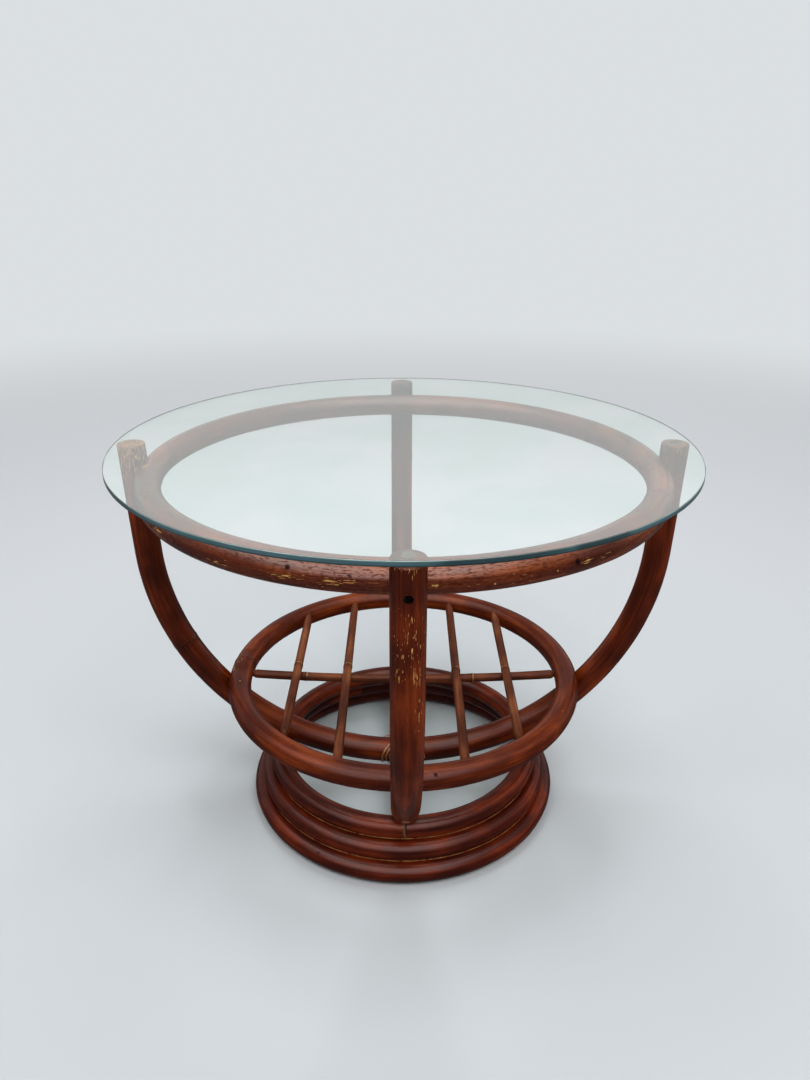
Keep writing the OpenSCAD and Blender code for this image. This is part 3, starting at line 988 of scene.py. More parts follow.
class Paint:
    """Lays the nodes of one material or of the world."""

    def __init__(self, owner: bpy.types.Material | bpy.types.World) -> None:
        """Starts with no nodes.

        Args:
            owner: What the nodes belong to.
        """
        self.owner = owner
        owner.use_nodes = True
        self.tree = owner.node_tree
        self.tree.nodes.clear()

    @classmethod
    def named(cls, title: str) -> "Paint":
        """Starts a new material of this name."""
        return cls(bpy.data.materials.new(title))

    def node(
        self,
        kind: str,
        settings: dict[str, object] | None = None,
        inputs: dict[str | int, object] | None = None,
    ) -> bpy.types.Node:
        """Adds a node.

        Args:
            kind: The node's type.
            settings: Its own settings, made first.
            inputs: A value, a wire or a socket for each of its inputs, by name or number.

        Returns:
            The node.
        """
        made = self.tree.nodes.new(kind)
        for setting, value in (settings or {}).items():
            setattr(made, setting, value)
        for key, value in (inputs or {}).items():
            if isinstance(value, Wire):
                value = value.socket
            if isinstance(value, bpy.types.NodeSocket):
                self.tree.links.new(value, made.inputs[key])
            elif isinstance(value, tuple) and made.inputs[key].type == "RGBA":
                made.inputs[key].default_value = (*value, 1.0)
            else:
                made.inputs[key].default_value = value
        return made

    def wire(
        self,
        kind: str,
        settings: dict[str, object] | None = None,
        inputs: dict[str | int, object] | None = None,
        output: str | int = 0,
    ) -> Wire:
        """Adds a node as node does, and gives one of its outputs, by name or number."""
        return Wire(self, self.node(kind, settings, inputs).outputs[output])

    def attribute(self, title: str, output: str = "Fac") -> Wire:
        """Reads a value that the mesh carries: Fac for a number, Vector for a place."""
        return self.wire("ShaderNodeAttribute", {"attribute_name": title}, output=output)

    def places(self) -> Wire:
        """Gives the place on the object, which is the place in the table's frame."""
        return self.wire("ShaderNodeTexCoord", output="Object")

    def part(self, vector: Wire, axis: str) -> Wire:
        """Takes X, Y or Z of a place."""
        return self.wire("ShaderNodeSeparateXYZ", inputs={0: vector}, output=axis)

    def noise(self, vector: Wire, scale: Triple, seed: float, detail: float = 2.0) -> Wire:
        """Adds noise that may be stretched.

        Args:
            vector: The place it is read at, in metres.
            scale: How many times it changes in a metre, for each direction.
            seed: Moves it, so that no two pieces look the same.
            detail: How many finer layers it has.

        Returns:
            The noise, mostly from 0.3 to 0.7.
        """
        shift = tuple(seed * part for part in SEED_SHIFT)
        placed = self.wire("ShaderNodeMapping", inputs={"Vector": vector, "Scale": scale, "Location": shift})
        return self.wire("ShaderNodeTexNoise", inputs={"Vector": placed, "Scale": 1.0, "Detail": detail})

    def mix(self, share: Operand, first: "Colour | Wire", second: "Colour | Wire") -> Wire:
        """Mixes two colours; a share of 0 gives the first, 1 the second."""
        return self.wire("ShaderNodeMix", {"data_type": "RGBA"}, {0: share, 6: first, 7: second}, output=2)

    def bump(self, height: Wire, distance: float, strength: float = 1.0) -> Wire:
        """Turns a height from 0 to 1, where 1 stands for a distance in metres, into a bent normal."""
        inputs = {"Height": height, "Distance": distance, "Strength": strength}
        return self.wire("ShaderNodeBump", inputs=inputs)

    def surface(self, inputs: dict[str | int, object]) -> bpy.types.Node:
        """Adds the surface's own shader, with its inputs as in node."""
        return self.node("ShaderNodeBsdfPrincipled", inputs=inputs)

    def blend(self, share: Operand, first: bpy.types.Node, second: bpy.types.Node) -> bpy.types.Node:
        """Mixes two shaders; a share of 0 gives the first, 1 the second."""
        return self.node("ShaderNodeMixShader", inputs={0: share, 1: first.outputs[0], 2: second.outputs[0]})

    def ray(self, *kinds: str) -> Wire:
        """Says where a light path belongs to one of these kinds of ray.

        Args:
            kinds: Names of the Light Path node's outputs.

        Returns:
            1 on such a ray, 0 on the others.
        """
        path = self.node("ShaderNodeLightPath")
        found = [Wire(self, path.outputs[kind]) for kind in kinds]
        whole = found[0]
        for one in found[1:]:
            whole = whole.most(one)
        return whole

    def finish(self, shader: bpy.types.Node) -> bpy.types.Material:
        """Joins the last shader to the output and gives the finished material."""
        self.node("ShaderNodeOutputMaterial", inputs={"Surface": shader.outputs[0]})
        return self.owner


@dataclass(frozen=True)
class PoleNoise:
    """The noise that one stained pole is painted with, stretched along the pole."""

    fibres: Wire
    streaks: Wire
    cloudy: Wire
    speckle: Wire
    chips: Wire
    pores: Wire
    mottles: Wire

    @classmethod
    def on(cls, paint: Paint, seed: float) -> "PoleNoise":
        """Adds the noise.

        Args:
            paint: The material.
            seed: The piece's own number.

        Returns:
            The noise, with the pores and the mottles already eased from 0 to 1.
        """
        grain = paint.attribute("grain", "Vector")
        return cls(
            fibres=paint.noise(grain, (22, 620, 620), seed, 3.0),
            streaks=paint.noise(grain, (9, 150, 150), seed + 1),
            cloudy=paint.noise(grain, (14, 26, 26), seed + 2),
            speckle=paint.noise(grain, (520, 520, 520), seed + 3, 1.0),
            chips=paint.noise(grain, (120, 1100, 1100), seed + 4, 1.0),
            pores=paint.noise(grain, (110, 1150, 1150), seed + 5, 1.0).rise(0.6, 0.68),
            mottles=paint.noise(grain, (230, 720, 720), seed + 6, 1.0).rise(0.5, 0.64),
        )


@dataclass(frozen=True)
class StainedPole:
    """Rattan pole stained red-brown and lacquered, with fibres, growth nodes, painted shade round the nodes
    and chipped places.
    """

    title: str = "mahogany_pole"
    dark: Colour = srgb(62, 20, 8)
    middle: Colour = srgb(104, 39, 12)
    light: Colour = srgb(150, 72, 24)
    scar: Colour = srgb(28, 10, 8)
    knot: Colour = srgb(24, 9, 12)
    node_light: Colour = srgb(196, 134, 74)
    bare: Colour = srgb(214, 164, 92)
    bare_dark: Colour = srgb(160, 104, 58)
    sheen: float = 0.27
    coat: float = 0.9
    coat_index: float = 1.3
    mottling: float = 0.15
    streaked: float = 0.6
    node_line: float = 0.0
    wear_effect: float = 0.36
    relief: float = 0.00035

    def material(
        self, piece: str, seed: float, knots: tuple[Mark, ...] = (), flecks: tuple[Mark, ...] = ()
    ) -> bpy.types.Material:
        """Makes the finish for one piece.

        Args:
            piece: The piece's name.
            seed: Its own number.
            knots: Dark spots on it.
            flecks: Bare spots on it.

        Returns:
            The material.
        """
        paint = Paint.named(f"{self.title}_{piece}")
        noise = PoleNoise.on(paint, seed)
        mottled = noise.mottles * self.mottling
        past_scar = self._past_scar(paint, noise)
        scar = abs(past_scar).rise(0.0016, 0.0004)
        dark_spots = self._spots(paint, noise.speckle, knots)
        bare = self._bare_places(paint, noise, past_scar, flecks)
        bare_colour = paint.mix(noise.fibres.rise(0.35, 0.65), self.bare, self.bare_dark)
        colour = self._stained(paint, noise, mottled)
        # Painted shade: the colour darkens towards the dark stain within about 11 mm of each growth node's
        # scar.
        colour = paint.mix(abs(past_scar).rise(0.011, 0.0008) * 0.45, colour, self.dark)
        colour = paint.mix(scar * 0.5, colour, self.scar)
        colour = paint.mix(dark_spots, colour, self.knot)
        colour = paint.mix(self._pale_line(noise, past_scar) * self.node_line, colour, self.node_light)
        colour = paint.mix(bare, colour, bare_colour)
        raised = noise.fibres * 0.35 + noise.streaks * 0.5
        height = raised - noise.pores * 0.25 - scar * 0.8 - bare * 0.5 + noise.cloudy * 0.6
        coat = self.coat + (noise.speckle - 0.5) * 0.4
        shader = paint.surface(
            {
                "Base Color": colour,
                "Roughness": 0.5 + noise.fibres * 0.16 + bare * 0.1,
                "Coat Weight": coat * (1 - bare * 0.8) * (1 - mottled * 0.7) * (1 - dark_spots),
                "Coat IOR": self.coat_index,
                "Coat Roughness": self.sheen,
                "Specular IOR Level": 0.0,
                "Normal": paint.bump(height, self.relief, 0.55),
            }
        )
        return paint.finish(shader)

    def _stained(self, paint: Paint, noise: PoleNoise, mottled: Wire) -> Wire:
        """Mixes the colour of the stained wood, without its growth nodes.

        Args:
            paint: The material.
            noise: The piece's noise.
            mottled: How dull and dark the stain is.

        Returns:
            The colour.
        """
        tone = (noise.fibres * 0.5 + noise.streaks * 0.4 + noise.cloudy * 0.8).rise(0.6, 1.06)
        lighter = (noise.streaks * 0.5 + noise.cloudy * 0.5).rise(0.48, 0.7) * self.streaked
        colour = paint.mix(tone, self.dark, self.middle)
        colour = paint.mix(lighter, colour, self.light)
        return paint.mix(noise.pores.most(mottled) * 0.55, colour, self.dark)

    def _past_scar(self, paint: Paint, noise: PoleNoise) -> Wire:
        """Says how far along the pole a place lies past the nearest growth node's scar."""
        gap = paint.attribute("growth_gap")
        return gap + (noise.cloudy - 0.5) * 0.004 + (noise.speckle - 0.5) * 0.0012

    def _pale_line(self, noise: PoleNoise, past_scar: Wire) -> Wire:
        """Says from 0 to 1 where the broken pale line past a scar lies."""
        return past_scar.rise(0.0006, 0.0014) * past_scar.rise(0.0028, 0.0018) * noise.streaks.rise(0.35, 0.6)

    def _bare_places(self, paint: Paint, noise: PoleNoise, past_scar: Wire, flecks: tuple[Mark, ...]) -> Wire:
        """Says where the lacquer and the stain are gone.

        Args:
            paint: The material.
            noise: The piece's noise.
            past_scar: How far past the scar a place lies.
            flecks: Bare spots.

        Returns:
            From 0, sound, to 1.
        """
        pale_specks = abs(past_scar).rise(0.0045, 0.0015) * noise.speckle.rise(0.66, 0.72)
        wear = paint.attribute("wear")
        worn_chips = noise.chips + wear * self.wear_effect - self.wear_effect
        chipped = (worn_chips + (noise.speckle - 0.5) * 0.04).rise(0.515, 0.55) * wear.rise(0.0, 0.05)
        return chipped.most(pale_specks * 0.35).most(self._spots(paint, noise.speckle, flecks))

    def _spots(self, paint: Paint, speckle: Wire, marks: tuple[Mark, ...]) -> Operand:
        """Says how far a place belongs to one of a few marks.

        Args:
            paint: The material.
            speckle: Fine noise, which frays the marks.
            marks: The marks.

        Returns:
            From 0, outside them, to a mark's amount.
        """
        place = paint.places()
        whole: Operand = 0.0
        for mark in marks:
            settings = {"operation": "DISTANCE"}
            distance = paint.wire("ShaderNodeVectorMath", settings, {0: place, 1: mark.middle}, "Value")
            frayed = distance + (speckle - 0.5) * mark.radius
            whole = (frayed.rise(mark.radius, mark.radius * 0.55) * mark.amount).most(whole)
        return whole


@dataclass(frozen=True)
class PeelStrip:
    """Bare rattan peel, yellow-tan with fine lengthwise lines and darkened edges."""

    light: Colour = srgb(158, 110, 58)
    dark: Colour = srgb(98, 58, 27)
    edge: Colour = srgb(90, 52, 26)

    def material(self) -> bpy.types.Material:
        """Makes the finish.

        Returns:
            The material.
        """
        paint = Paint.named("peel_strip")
        grain = paint.attribute("grain", "Vector")
        lines = paint.noise(grain, (40, 2600, 900), 3.0, 3.0)
        cloudy = paint.noise(grain, (60, 120, 120), 5.0)
        edge = abs(paint.part(grain, "Y")).rise(0.0009, 0.0015)
        colour = paint.mix((lines * 0.7 + cloudy * 0.4).rise(0.42, 0.7), self.dark, self.light)
        colour = paint.mix(edge * 0.45, colour, self.edge)
        shader = paint.surface(
            {
                "Base Color": colour,
                "Roughness": 0.42 + lines * 0.2,
                "Coat Weight": 0.25,
                "Coat Roughness": 0.3,
                "Normal": paint.bump(lines, 0.0001, 0.6),
            }
        )
        return paint.finish(shader)


@dataclass(frozen=True)
class ClearGlass:
    """Clear glass, which lets lamps through and shows what stands behind it."""

    tint: Colour = srgb(235, 248, 243)
    smudged: Colour = srgb(246, 252, 250)
    open: Colour = srgb(244, 250, 248)
    index: float = 1.5

    def material(self) -> bpy.types.Material:
        """Makes the finish of the two faces.

        Returns:
            The material.
        """
        paint = Paint.named("clear_glass")
        smudges = paint.noise(paint.places(), (9, 9, 9), 2.0, 3.0)
        glass = paint.surface(
            {
                "Base Color": paint.mix(smudges.rise(0.35, 0.65), self.tint, self.smudged),
                "Roughness": 0.0,
                "Transmission Weight": 1.0,
                "IOR": self.index,
                "Coat Weight": smudges.rise(0.45, 0.75) * 0.06,
                "Coat Roughness": 0.12,
            }
        )
        open_way = paint.node("ShaderNodeBsdfTransparent", inputs={"Color": self.open})
        mirrored_in_lacquer = paint.ray("Is Glossy Ray") - paint.ray("Is Singular Ray")
        passing = paint.ray("Is Shadow Ray", "Is Diffuse Ray").most(mirrored_in_lacquer)
        return paint.finish(paint.blend(passing, glass, open_way))


@dataclass(frozen=True)
class GlassEdge:
    """The ground edge of the glass, green where the light has come a long way through it, with painted shade
    towards the bottom, a painted highlight along the top and painted dark reflections in places.
    """

    z_low: float
    z_high: float
    # Painted shade at the rim's bottom (low) and a painted highlight along its top (high), round its own
    # green (middle).
    low: Colour = srgb(16, 42, 42)
    middle: Colour = srgb(72, 99, 108)
    high: Colour = srgb(132, 158, 156)
    streaked: Colour = srgb(36, 74, 66)
    # Painted dark reflections: their colour, and where they lie on the rim, at the far left and round one
    # place on the right.
    dark_reflection: Colour = srgb(12, 34, 36)
    dark_reflection_left: tuple[float, float] = (-0.2, -0.33)
    dark_reflection_right_x: float = 0.175
    dark_reflection_right: tuple[float, float] = (0.036, 0.022)

    def material(self) -> bpy.types.Material:
        """Makes the finish of the rim.

        Returns:
            The material.
        """
        paint = Paint.named("glass_edge")
        place = paint.places()
        height = (paint.part(place, "Z") - self.z_low) / (self.z_high - self.z_low)
        streaks = paint.noise(place, (14, 14, 60), 1.0)
        # Painted shade towards the bottom of the rim and a painted highlight along its top, by height alone.
        colour = paint.mix(height.rise(0.0, 0.45), self.low, self.middle)
        colour = paint.mix(height.rise(0.72, 0.95), colour, self.high)
        colour = paint.mix(streaks.rise(0.4, 0.7) * 0.35, colour, self.streaked)
        # Painted dark reflections: darker segments of the rim at the far left, round x = 0.175 and in
        # scattered patches.
        dark_reflection_patches = paint.noise(place, (5.5, 5.5, 5.5), 4.0, 1.0)
        across = paint.part(place, "X")
        dark_reflection = across.rise(*self.dark_reflection_left).most(abs(across - self.dark_reflection_right_x).rise(*self.dark_reflection_right))
        colour = paint.mix(dark_reflection.most(dark_reflection_patches.rise(0.58, 0.66)) * 0.65, colour, self.dark_reflection)
        shader = paint.surface(
            {
                "Base Color": colour,
                "Roughness": 0.12 + streaks * 0.15,
                "IOR": 1.5,
                "Coat Weight": 0.4,
                "Normal": paint.bump(streaks, 0.0002, 0.2),
            }
        )
        return paint.finish(shader)


@dataclass(frozen=True)
class MetalPart:
    """Small metal hardware, plated or blackened, with fine turning marks."""

    title: str
    colour: Colour
    shade: Colour
    metallic: float = 1.0
    roughness: float = 0.32

    def material(self) -> bpy.types.Material:
        """Makes the finish.

        Returns:
            The material.
        """
        paint = Paint.named(self.title)
        place = paint.places()
        dull = paint.noise(place, (260, 260, 260), 1.0, 3.0)
        marks = paint.noise(place, (1400, 1400, 1400), 2.0, 1.0)
        shader = paint.surface(
            {
                "Base Color": paint.mix(dull.rise(0.4, 0.65), self.colour, self.shade),
                "Metallic": self.metallic,
                "Roughness": self.roughness + dull * 0.2,
                "Normal": paint.bump(marks, 0.0001, 0.3),
            }
        )
        return paint.finish(shader)


@dataclass(frozen=True)
class PlainWood:
    """Small wooden parts: dowels and plugs, with end grain or fine fibres."""

    title: str
    light: Colour
    dark: Colour
    coat: float = 0.0

    def material(self) -> bpy.types.Material:
        """Makes the finish.

        Returns:
            The material.
        """
        paint = Paint.named(self.title)
        place = paint.places()
        pores = paint.noise(place, (1100, 1100, 1100), 4.0)
        cloudy = paint.noise(place, (190, 190, 190), 6.0)
        colour = paint.mix((pores * 0.6 + cloudy * 0.5).rise(0.42, 0.68), self.dark, self.light)
        shader = paint.surface(
            {
                "Base Color": colour,
                "Roughness": 0.45 + pores * 0.2,
                "Coat Weight": self.coat,
                "Coat Roughness": 0.2,
                "Normal": paint.bump(pores, 0.00015, 0.5),
            }
        )
        return paint.finish(shader)


@dataclass(frozen=True)
class ClearRubber:
    """The clear pads between the legs and the glass."""

    clear: Colour = srgb(196, 192, 184)
    hazy: Colour = srgb(176, 170, 160)

    def material(self) -> bpy.types.Material:
        """Makes the finish.

        Returns:
            The material.
        """
        paint = Paint.named("clear_pad")
        haze = paint.noise(paint.places(), (400, 400, 400), 1.0)
        shader = paint.surface(
            {
                "Base Color": paint.mix(haze.rise(0.35, 0.7), self.clear, self.hazy),
                "Roughness": 0.3 + haze * 0.3,
                "Specular IOR Level": 0.2,
                "Alpha": 0.12 + haze * 0.12,
            }
        )
        return paint.finish(shader)


@dataclass(frozen=True)
class GlueBead:
    """Dried golden varnish and glue in the grooves between the base rings."""

    dark: Colour = srgb(112, 56, 26)
    light: Colour = srgb(176, 116, 58)

    def material(self) -> bpy.types.Material:
        """Makes the finish.

        Returns:
            The material.
        """
        paint = Paint.named("glue_bead")
        place = paint.places()
        drops = paint.noise(place, (120, 120, 120), 2.0, 3.0)
        colour = paint.mix(drops.rise(0.35, 0.65), self.dark, self.light)
        shader = paint.surface(
            {
                "Base Color": colour,
                "Roughness": 0.2 + drops * 0.2,
                "Coat Weight": 0.8,
                "Coat Roughness": 0.1,
                "Normal": paint.bump(drops, 0.0006, 0.5),
            }
        )
        return paint.finish(shader)


def dress(piece: bpy.types.Object, material: bpy.types.Material) -> None:
    """Gives a piece one finish all over."""
    piece.data.materials.clear()
    piece.data.materials.append(material)


# Sub-assemblies


@dataclass
class SubAssembly:
    """A group of pieces that one maker would put together."""

    def stand_for(self, piece: bpy.types.Object, body: str, slot: str, *nodes: str) -> None:
        """Puts a finished piece in its place in the model.

        Args:
            piece: The piece.
            body: The body that it moves with.
            slot: Not used.
            nodes: The plain pieces that it stands for.
        """
        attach(piece, body)
        if nodes:
            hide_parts(*nodes)
        log.info("%s: %d vertices, on %s", piece.name, len(piece.data.vertices), body)

    def stand_pole(
        self, pole: Pole, piece: bpy.types.Object, material: bpy.types.Material, slot: str, node: str
    ) -> None:
        """Shades, marks and dresses a built pole and puts it in its place on the frame.

        Args:
            pole: What the piece was built from.
            piece: The piece.
            material: Its finish.
            slot: Passed on to stand_for, which does not use it.
            node: The plain piece that it stands for.
        """
        smooth(piece)
        pole.mark(piece)
        dress(piece, material)
        self.stand_for(piece, FRAME_BODY, slot, node)

    def keep(self, material: bpy.types.Material, *nodes: str) -> None:
        """Gives plain pieces that stay their finish.

        Args:
            material: The finish.
            nodes: The pieces.
        """
        for node in nodes:
            dress(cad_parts[node], material)
            log.info("%s: kept, %s", node, material.name)


@dataclass
class GlassTop(SubAssembly):
    """The round glass with its ground edge, and the clear pads it lies on."""

    arris: float = 0.0008
    sides: int = 256
    face_level: float = 0.95
    rim_angle: float = math.radians(12)

    def build(self) -> None:
        """Builds and dresses the glass and its pads."""
        low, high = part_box("glass_top")
        radius, thickness = (high.x - low.x) / 2 - FIT, high.z - low.z
        middle = Vector((0, 0, (low.z + high.z) / 2))
        glass = rod(radius, thickness, middle, Vector((0, 0, 1)), self.sides)
        glass.name = "glass_sheet"
        glass.data.name = "glass_sheet"
        with editing(glass, Element.EDGE):
            pick_edges(glass, lambda starts, ends: np.abs(starts[:, 2] - ends[:, 2]) < thickness / 2)
            bpy.ops.mesh.bevel(offset=self.arris, segments=3, affect="EDGES")
        dress(glass, ClearGlass().material())
        glass.data.materials.append(GlassEdge(low.z, high.z).material())
        for polygon in glass.data.polygons:
            polygon.material_index = 0 if abs(polygon.normal.z) > self.face_level else 1
        smooth(glass, self.rim_angle)
        self.stand_for(glass, GLASS_BODY, "glass", "glass_top")
        self.keep(ClearRubber().material(), "glass_pads")


@dataclass
class UpperRing(SubAssembly):
    """The ring under the glass, with the bolts that hold it to the legs."""

    finish: StainedPole = StainedPole(
        dark=srgb(62, 21, 10), middle=srgb(104, 41, 14), coat=1.0, coat_index=1.44, mottling=1.0
    )
    seed: float = 1.0
    joint_at: float = math.radians(172)
    growth: tuple[float, ...] = (0.09, 0.87, 1.16, 1.5)
    worn: tuple[WornPatch, ...] = (
        WornPatch((-0.062, -0.314, 0.4686), (0.05, 0.012, 0.006), 1.0),
        WornPatch((-0.11, -0.301, 0.4685), (0.045, 0.02, 0.006), 0.95),
        WornPatch((-0.18, -0.265, 0.4668), (0.04, 0.03, 0.006), 0.85),
        WornPatch((-0.255, -0.195, 0.4705), (0.03, 0.03, 0.007), 0.95),
        WornPatch((-0.3053, -0.0455, 0.483), (0.008, 0.012, 0.006), 1.3),
        WornPatch((0.0827, -0.3101, 0.4687), (0.03, 0.015, 0.005), 0.6),
        WornPatch((0.1688, -0.2729, 0.47), (0.007, 0.007, 0.005), 1.5),
        WornPatch((0.19, -0.258, 0.468), (0.03, 0.03, 0.006), 0.85),
        WornPatch((0.0, -0.33, 0.462), (0.3, 0.2, 0.016), 0.46),
    )
    knots: tuple[Mark, ...] = (
        Mark((-0.1091, -0.2992, 0.4769), 0.0034, 0.9),
        Mark((-0.0515, -0.3151, 0.4754), 0.0026, 0.7),
        Mark((0.1591, -0.2784, 0.4716), 0.0037, 0.9),
        Mark((0.1255, -0.2931, 0.4752), 0.0034, 0.35),
    )
    flecks: tuple[Mark, ...] = (
        Mark((0.0251, -0.32, 0.4678), 0.002),
        Mark((0.0221, -0.3202, 0.4679), 0.0014),
        Mark((0.0783, -0.3109, 0.4651), 0.0014),
        Mark((0.1387, -0.2894, 0.4676), 0.0012),
    )

    def pole(self) -> RingPole:
        """Gives the ring as a pole."""
        size = RingSize.from_node("upper_ring")
        return RingPole("glass_ring", size.pole_r, self.growth, self.worn, size=size, joint_at=self.joint_at)

    def build(self) -> None:
        """Builds and dresses the ring and its bolts."""
        pole = self.pole()
        ring = pole.build()
        material = self.finish.material(ring.name, self.seed, self.knots, self.flecks)
        self.stand_pole(pole, ring, material, "mahogany_pole", "upper_ring")
        black = MetalPart("black_bolt", srgb(20, 19, 20), srgb(36, 34, 34))
        brass = MetalPart("brass_insert", srgb(196, 158, 82), srgb(150, 112, 56))
        self.keep(black.material(), "ring_bolts")
        self.keep(brass.material(), "ring_inserts")


@dataclass
class Bows(SubAssembly):
    """The two crossed bows, and the strip wound round their crossing."""

    finish: StainedPole = StainedPole(
        dark=srgb(52, 15, 5), middle=srgb(96, 32, 7), light=srgb(148, 64, 14), coat=0.77, streaked=0.42
    )
    seed: float = 11.0
    across_growth: tuple[float, ...] = (-0.3645, 0.56)
    across_worn: tuple[WornPatch, ...] = (
        WornPatch((-0.334, 0.0, 0.499), (0.06, 0.06, 0.07), 1.12),
        WornPatch((0.334, 0.0, 0.499), (0.05, 0.05, 0.04), 0.9),
    )
    depth_growth: tuple[float, ...] = (-0.12, 0.07, 0.3, 0.52)
    depth_worn: tuple[WornPatch, ...] = (
        WornPatch((0.0, -0.347, 0.425), (0.024, 0.03, 0.062), 0.69),
        WornPatch((-0.008, -0.345, 0.388), (0.006, 0.02, 0.012), 1.05),
        WornPatch((0.008, -0.344, 0.386), (0.005, 0.02, 0.02), 1.05),
        WornPatch((0.01, -0.342, 0.345), (0.005, 0.02, 0.035), 0.9),
        WornPatch((0.0, -0.343, 0.499), (0.025, 0.025, 0.012), 0.95),
        WornPatch((0.0, 0.336, 0.499), (0.025, 0.025, 0.03), 0.85),
    )
    bolt_hole_r: float = 0.00445
    bolt_hole_l: float = 0.007
    bolt_hole_sides: int = 64
    plug_r: float = 0.0051
    plug_l: float = 0.006
    crossing_head_r: float = 0.0051
    crossing_head_l: float = 0.0031
    tool_l: float = 0.02
    shelf: str = "shelf_ring"

    def poles(self) -> tuple[BowPole, BowPole]:
        """Gives the two bows as poles.

        Returns:
            The bow from left to right, then the one from front to back.
        """
        across = BowPole.like_lower(
            "left_right_bow", Bearing.RIGHT, growth=self.across_growth, worn=self.across_worn
        )
        depth = BowPole.like_lower(
            "front_back_bow", Bearing.BACK, growth=self.depth_growth, worn=self.depth_worn
        )
        return across, depth

    def build(self) -> None:
        """Builds both bows, cuts their joints and winds the strip."""
        across, depth = self.poles()
        for number, (pole, other, node, bearings) in enumerate(
            (
                (across, depth, "bow_left_right", (Bearing.RIGHT, Bearing.LEFT)),
                (depth, across, "bow_front_back", (Bearing.FRONT, Bearing.BACK)),
            )
        ):
            bow = pole.build()
            for ring_node in ("upper_ring", self.shelf, "base_ring_top"):
                size = RingSize.from_node(ring_node)
                cut_away(bow, RingPole(ring_node, size.pole_r, size=size).tool())
            cut_away(bow, other.lap_tool(takes_lower=pole is across))
            if pole is depth:
                cut_away(bow, self._crossing_tool(pole))
            for bearing in bearings:
                cut_away(bow, self._bolt_tool(pole, bearing), self._plug_tool(pole, bearing))
            material = self.finish.material(bow.name, self.seed + number)
            self.stand_pole(pole, bow, material, "mahogany_pole", node)
        strip = StripWinding(across.low_z, across.bow_r, across.pole_r).build()
        dress(strip, PeelStrip().material())
        self.stand_for(strip, FRAME_BODY, "peel", "crossing_binding")
        plug = PlainWood("plug_end_grain", srgb(150, 92, 56), srgb(98, 50, 30), 0.6)
        zinc = MetalPart("zinc_screw", srgb(186, 186, 182), srgb(150, 150, 148))
        self.keep(plug.material(), "shelf_screw_plugs")
        self.keep(zinc.material(), "shelf_screws", "base_screws", "crossing_screw")

    def _crossing_tool(self, pole: BowPole) -> bpy.types.Object:
        """Adds the hole for the head of the screw under the crossing.

        Args:
            pole: The lower bow.

        Returns:
            A rod from the hole's bottom to below the bow.
        """
        top = pole.low_z - pole.pole_r + self.crossing_head_l
        middle = Vector((0, 0, top - self.tool_l / 2))
        return rod(self.crossing_head_r, self.tool_l, middle, Vector((0, 0, 1)))

    def _bolt_tool(self, pole: BowPole, bearing: Bearing) -> bpy.types.Object:
        """Adds the counterbore of a ring bolt.

        Args:
            pole: The bow.
            bearing: The leg.

        Returns:
            A rod from the hole's bottom to outside the leg.
        """
        upper_z = RingSize.from_node("upper_ring").z
        outwards = pole.pole_r / math.cos(LEG_LEAN)
        middle = pole.point(bearing, upper_z, outwards - self.bolt_hole_l + self.tool_l / 2)
        axis = Vector((math.cos(bearing.turn), math.sin(bearing.turn), 0))
        return rod(self.bolt_hole_r, self.tool_l, middle, axis, self.bolt_hole_sides)

    def _plug_tool(self, pole: BowPole, bearing: Bearing) -> bpy.types.Object:
        """Adds the hole for the plug over a shelf screw.

        Args:
            pole: The bow.
            bearing: The leg.

        Returns:
            A rod from the hole's bottom to outside the bow.
        """
        size = RingSize.from_node(self.shelf)
        angle = math.atan2(size.ring_r, pole.centre_z - size.z)
        reach = pole.bow_r + pole.pole_r - self.plug_l + self.tool_l / 2
        level, down = math.sin(angle), math.cos(angle)
        axis = Vector((level * math.cos(bearing.turn), level * math.sin(bearing.turn), -down))
        return rod(self.plug_r, self.tool_l, Vector((0, 0, pole.centre_z)) + axis * reach, axis)


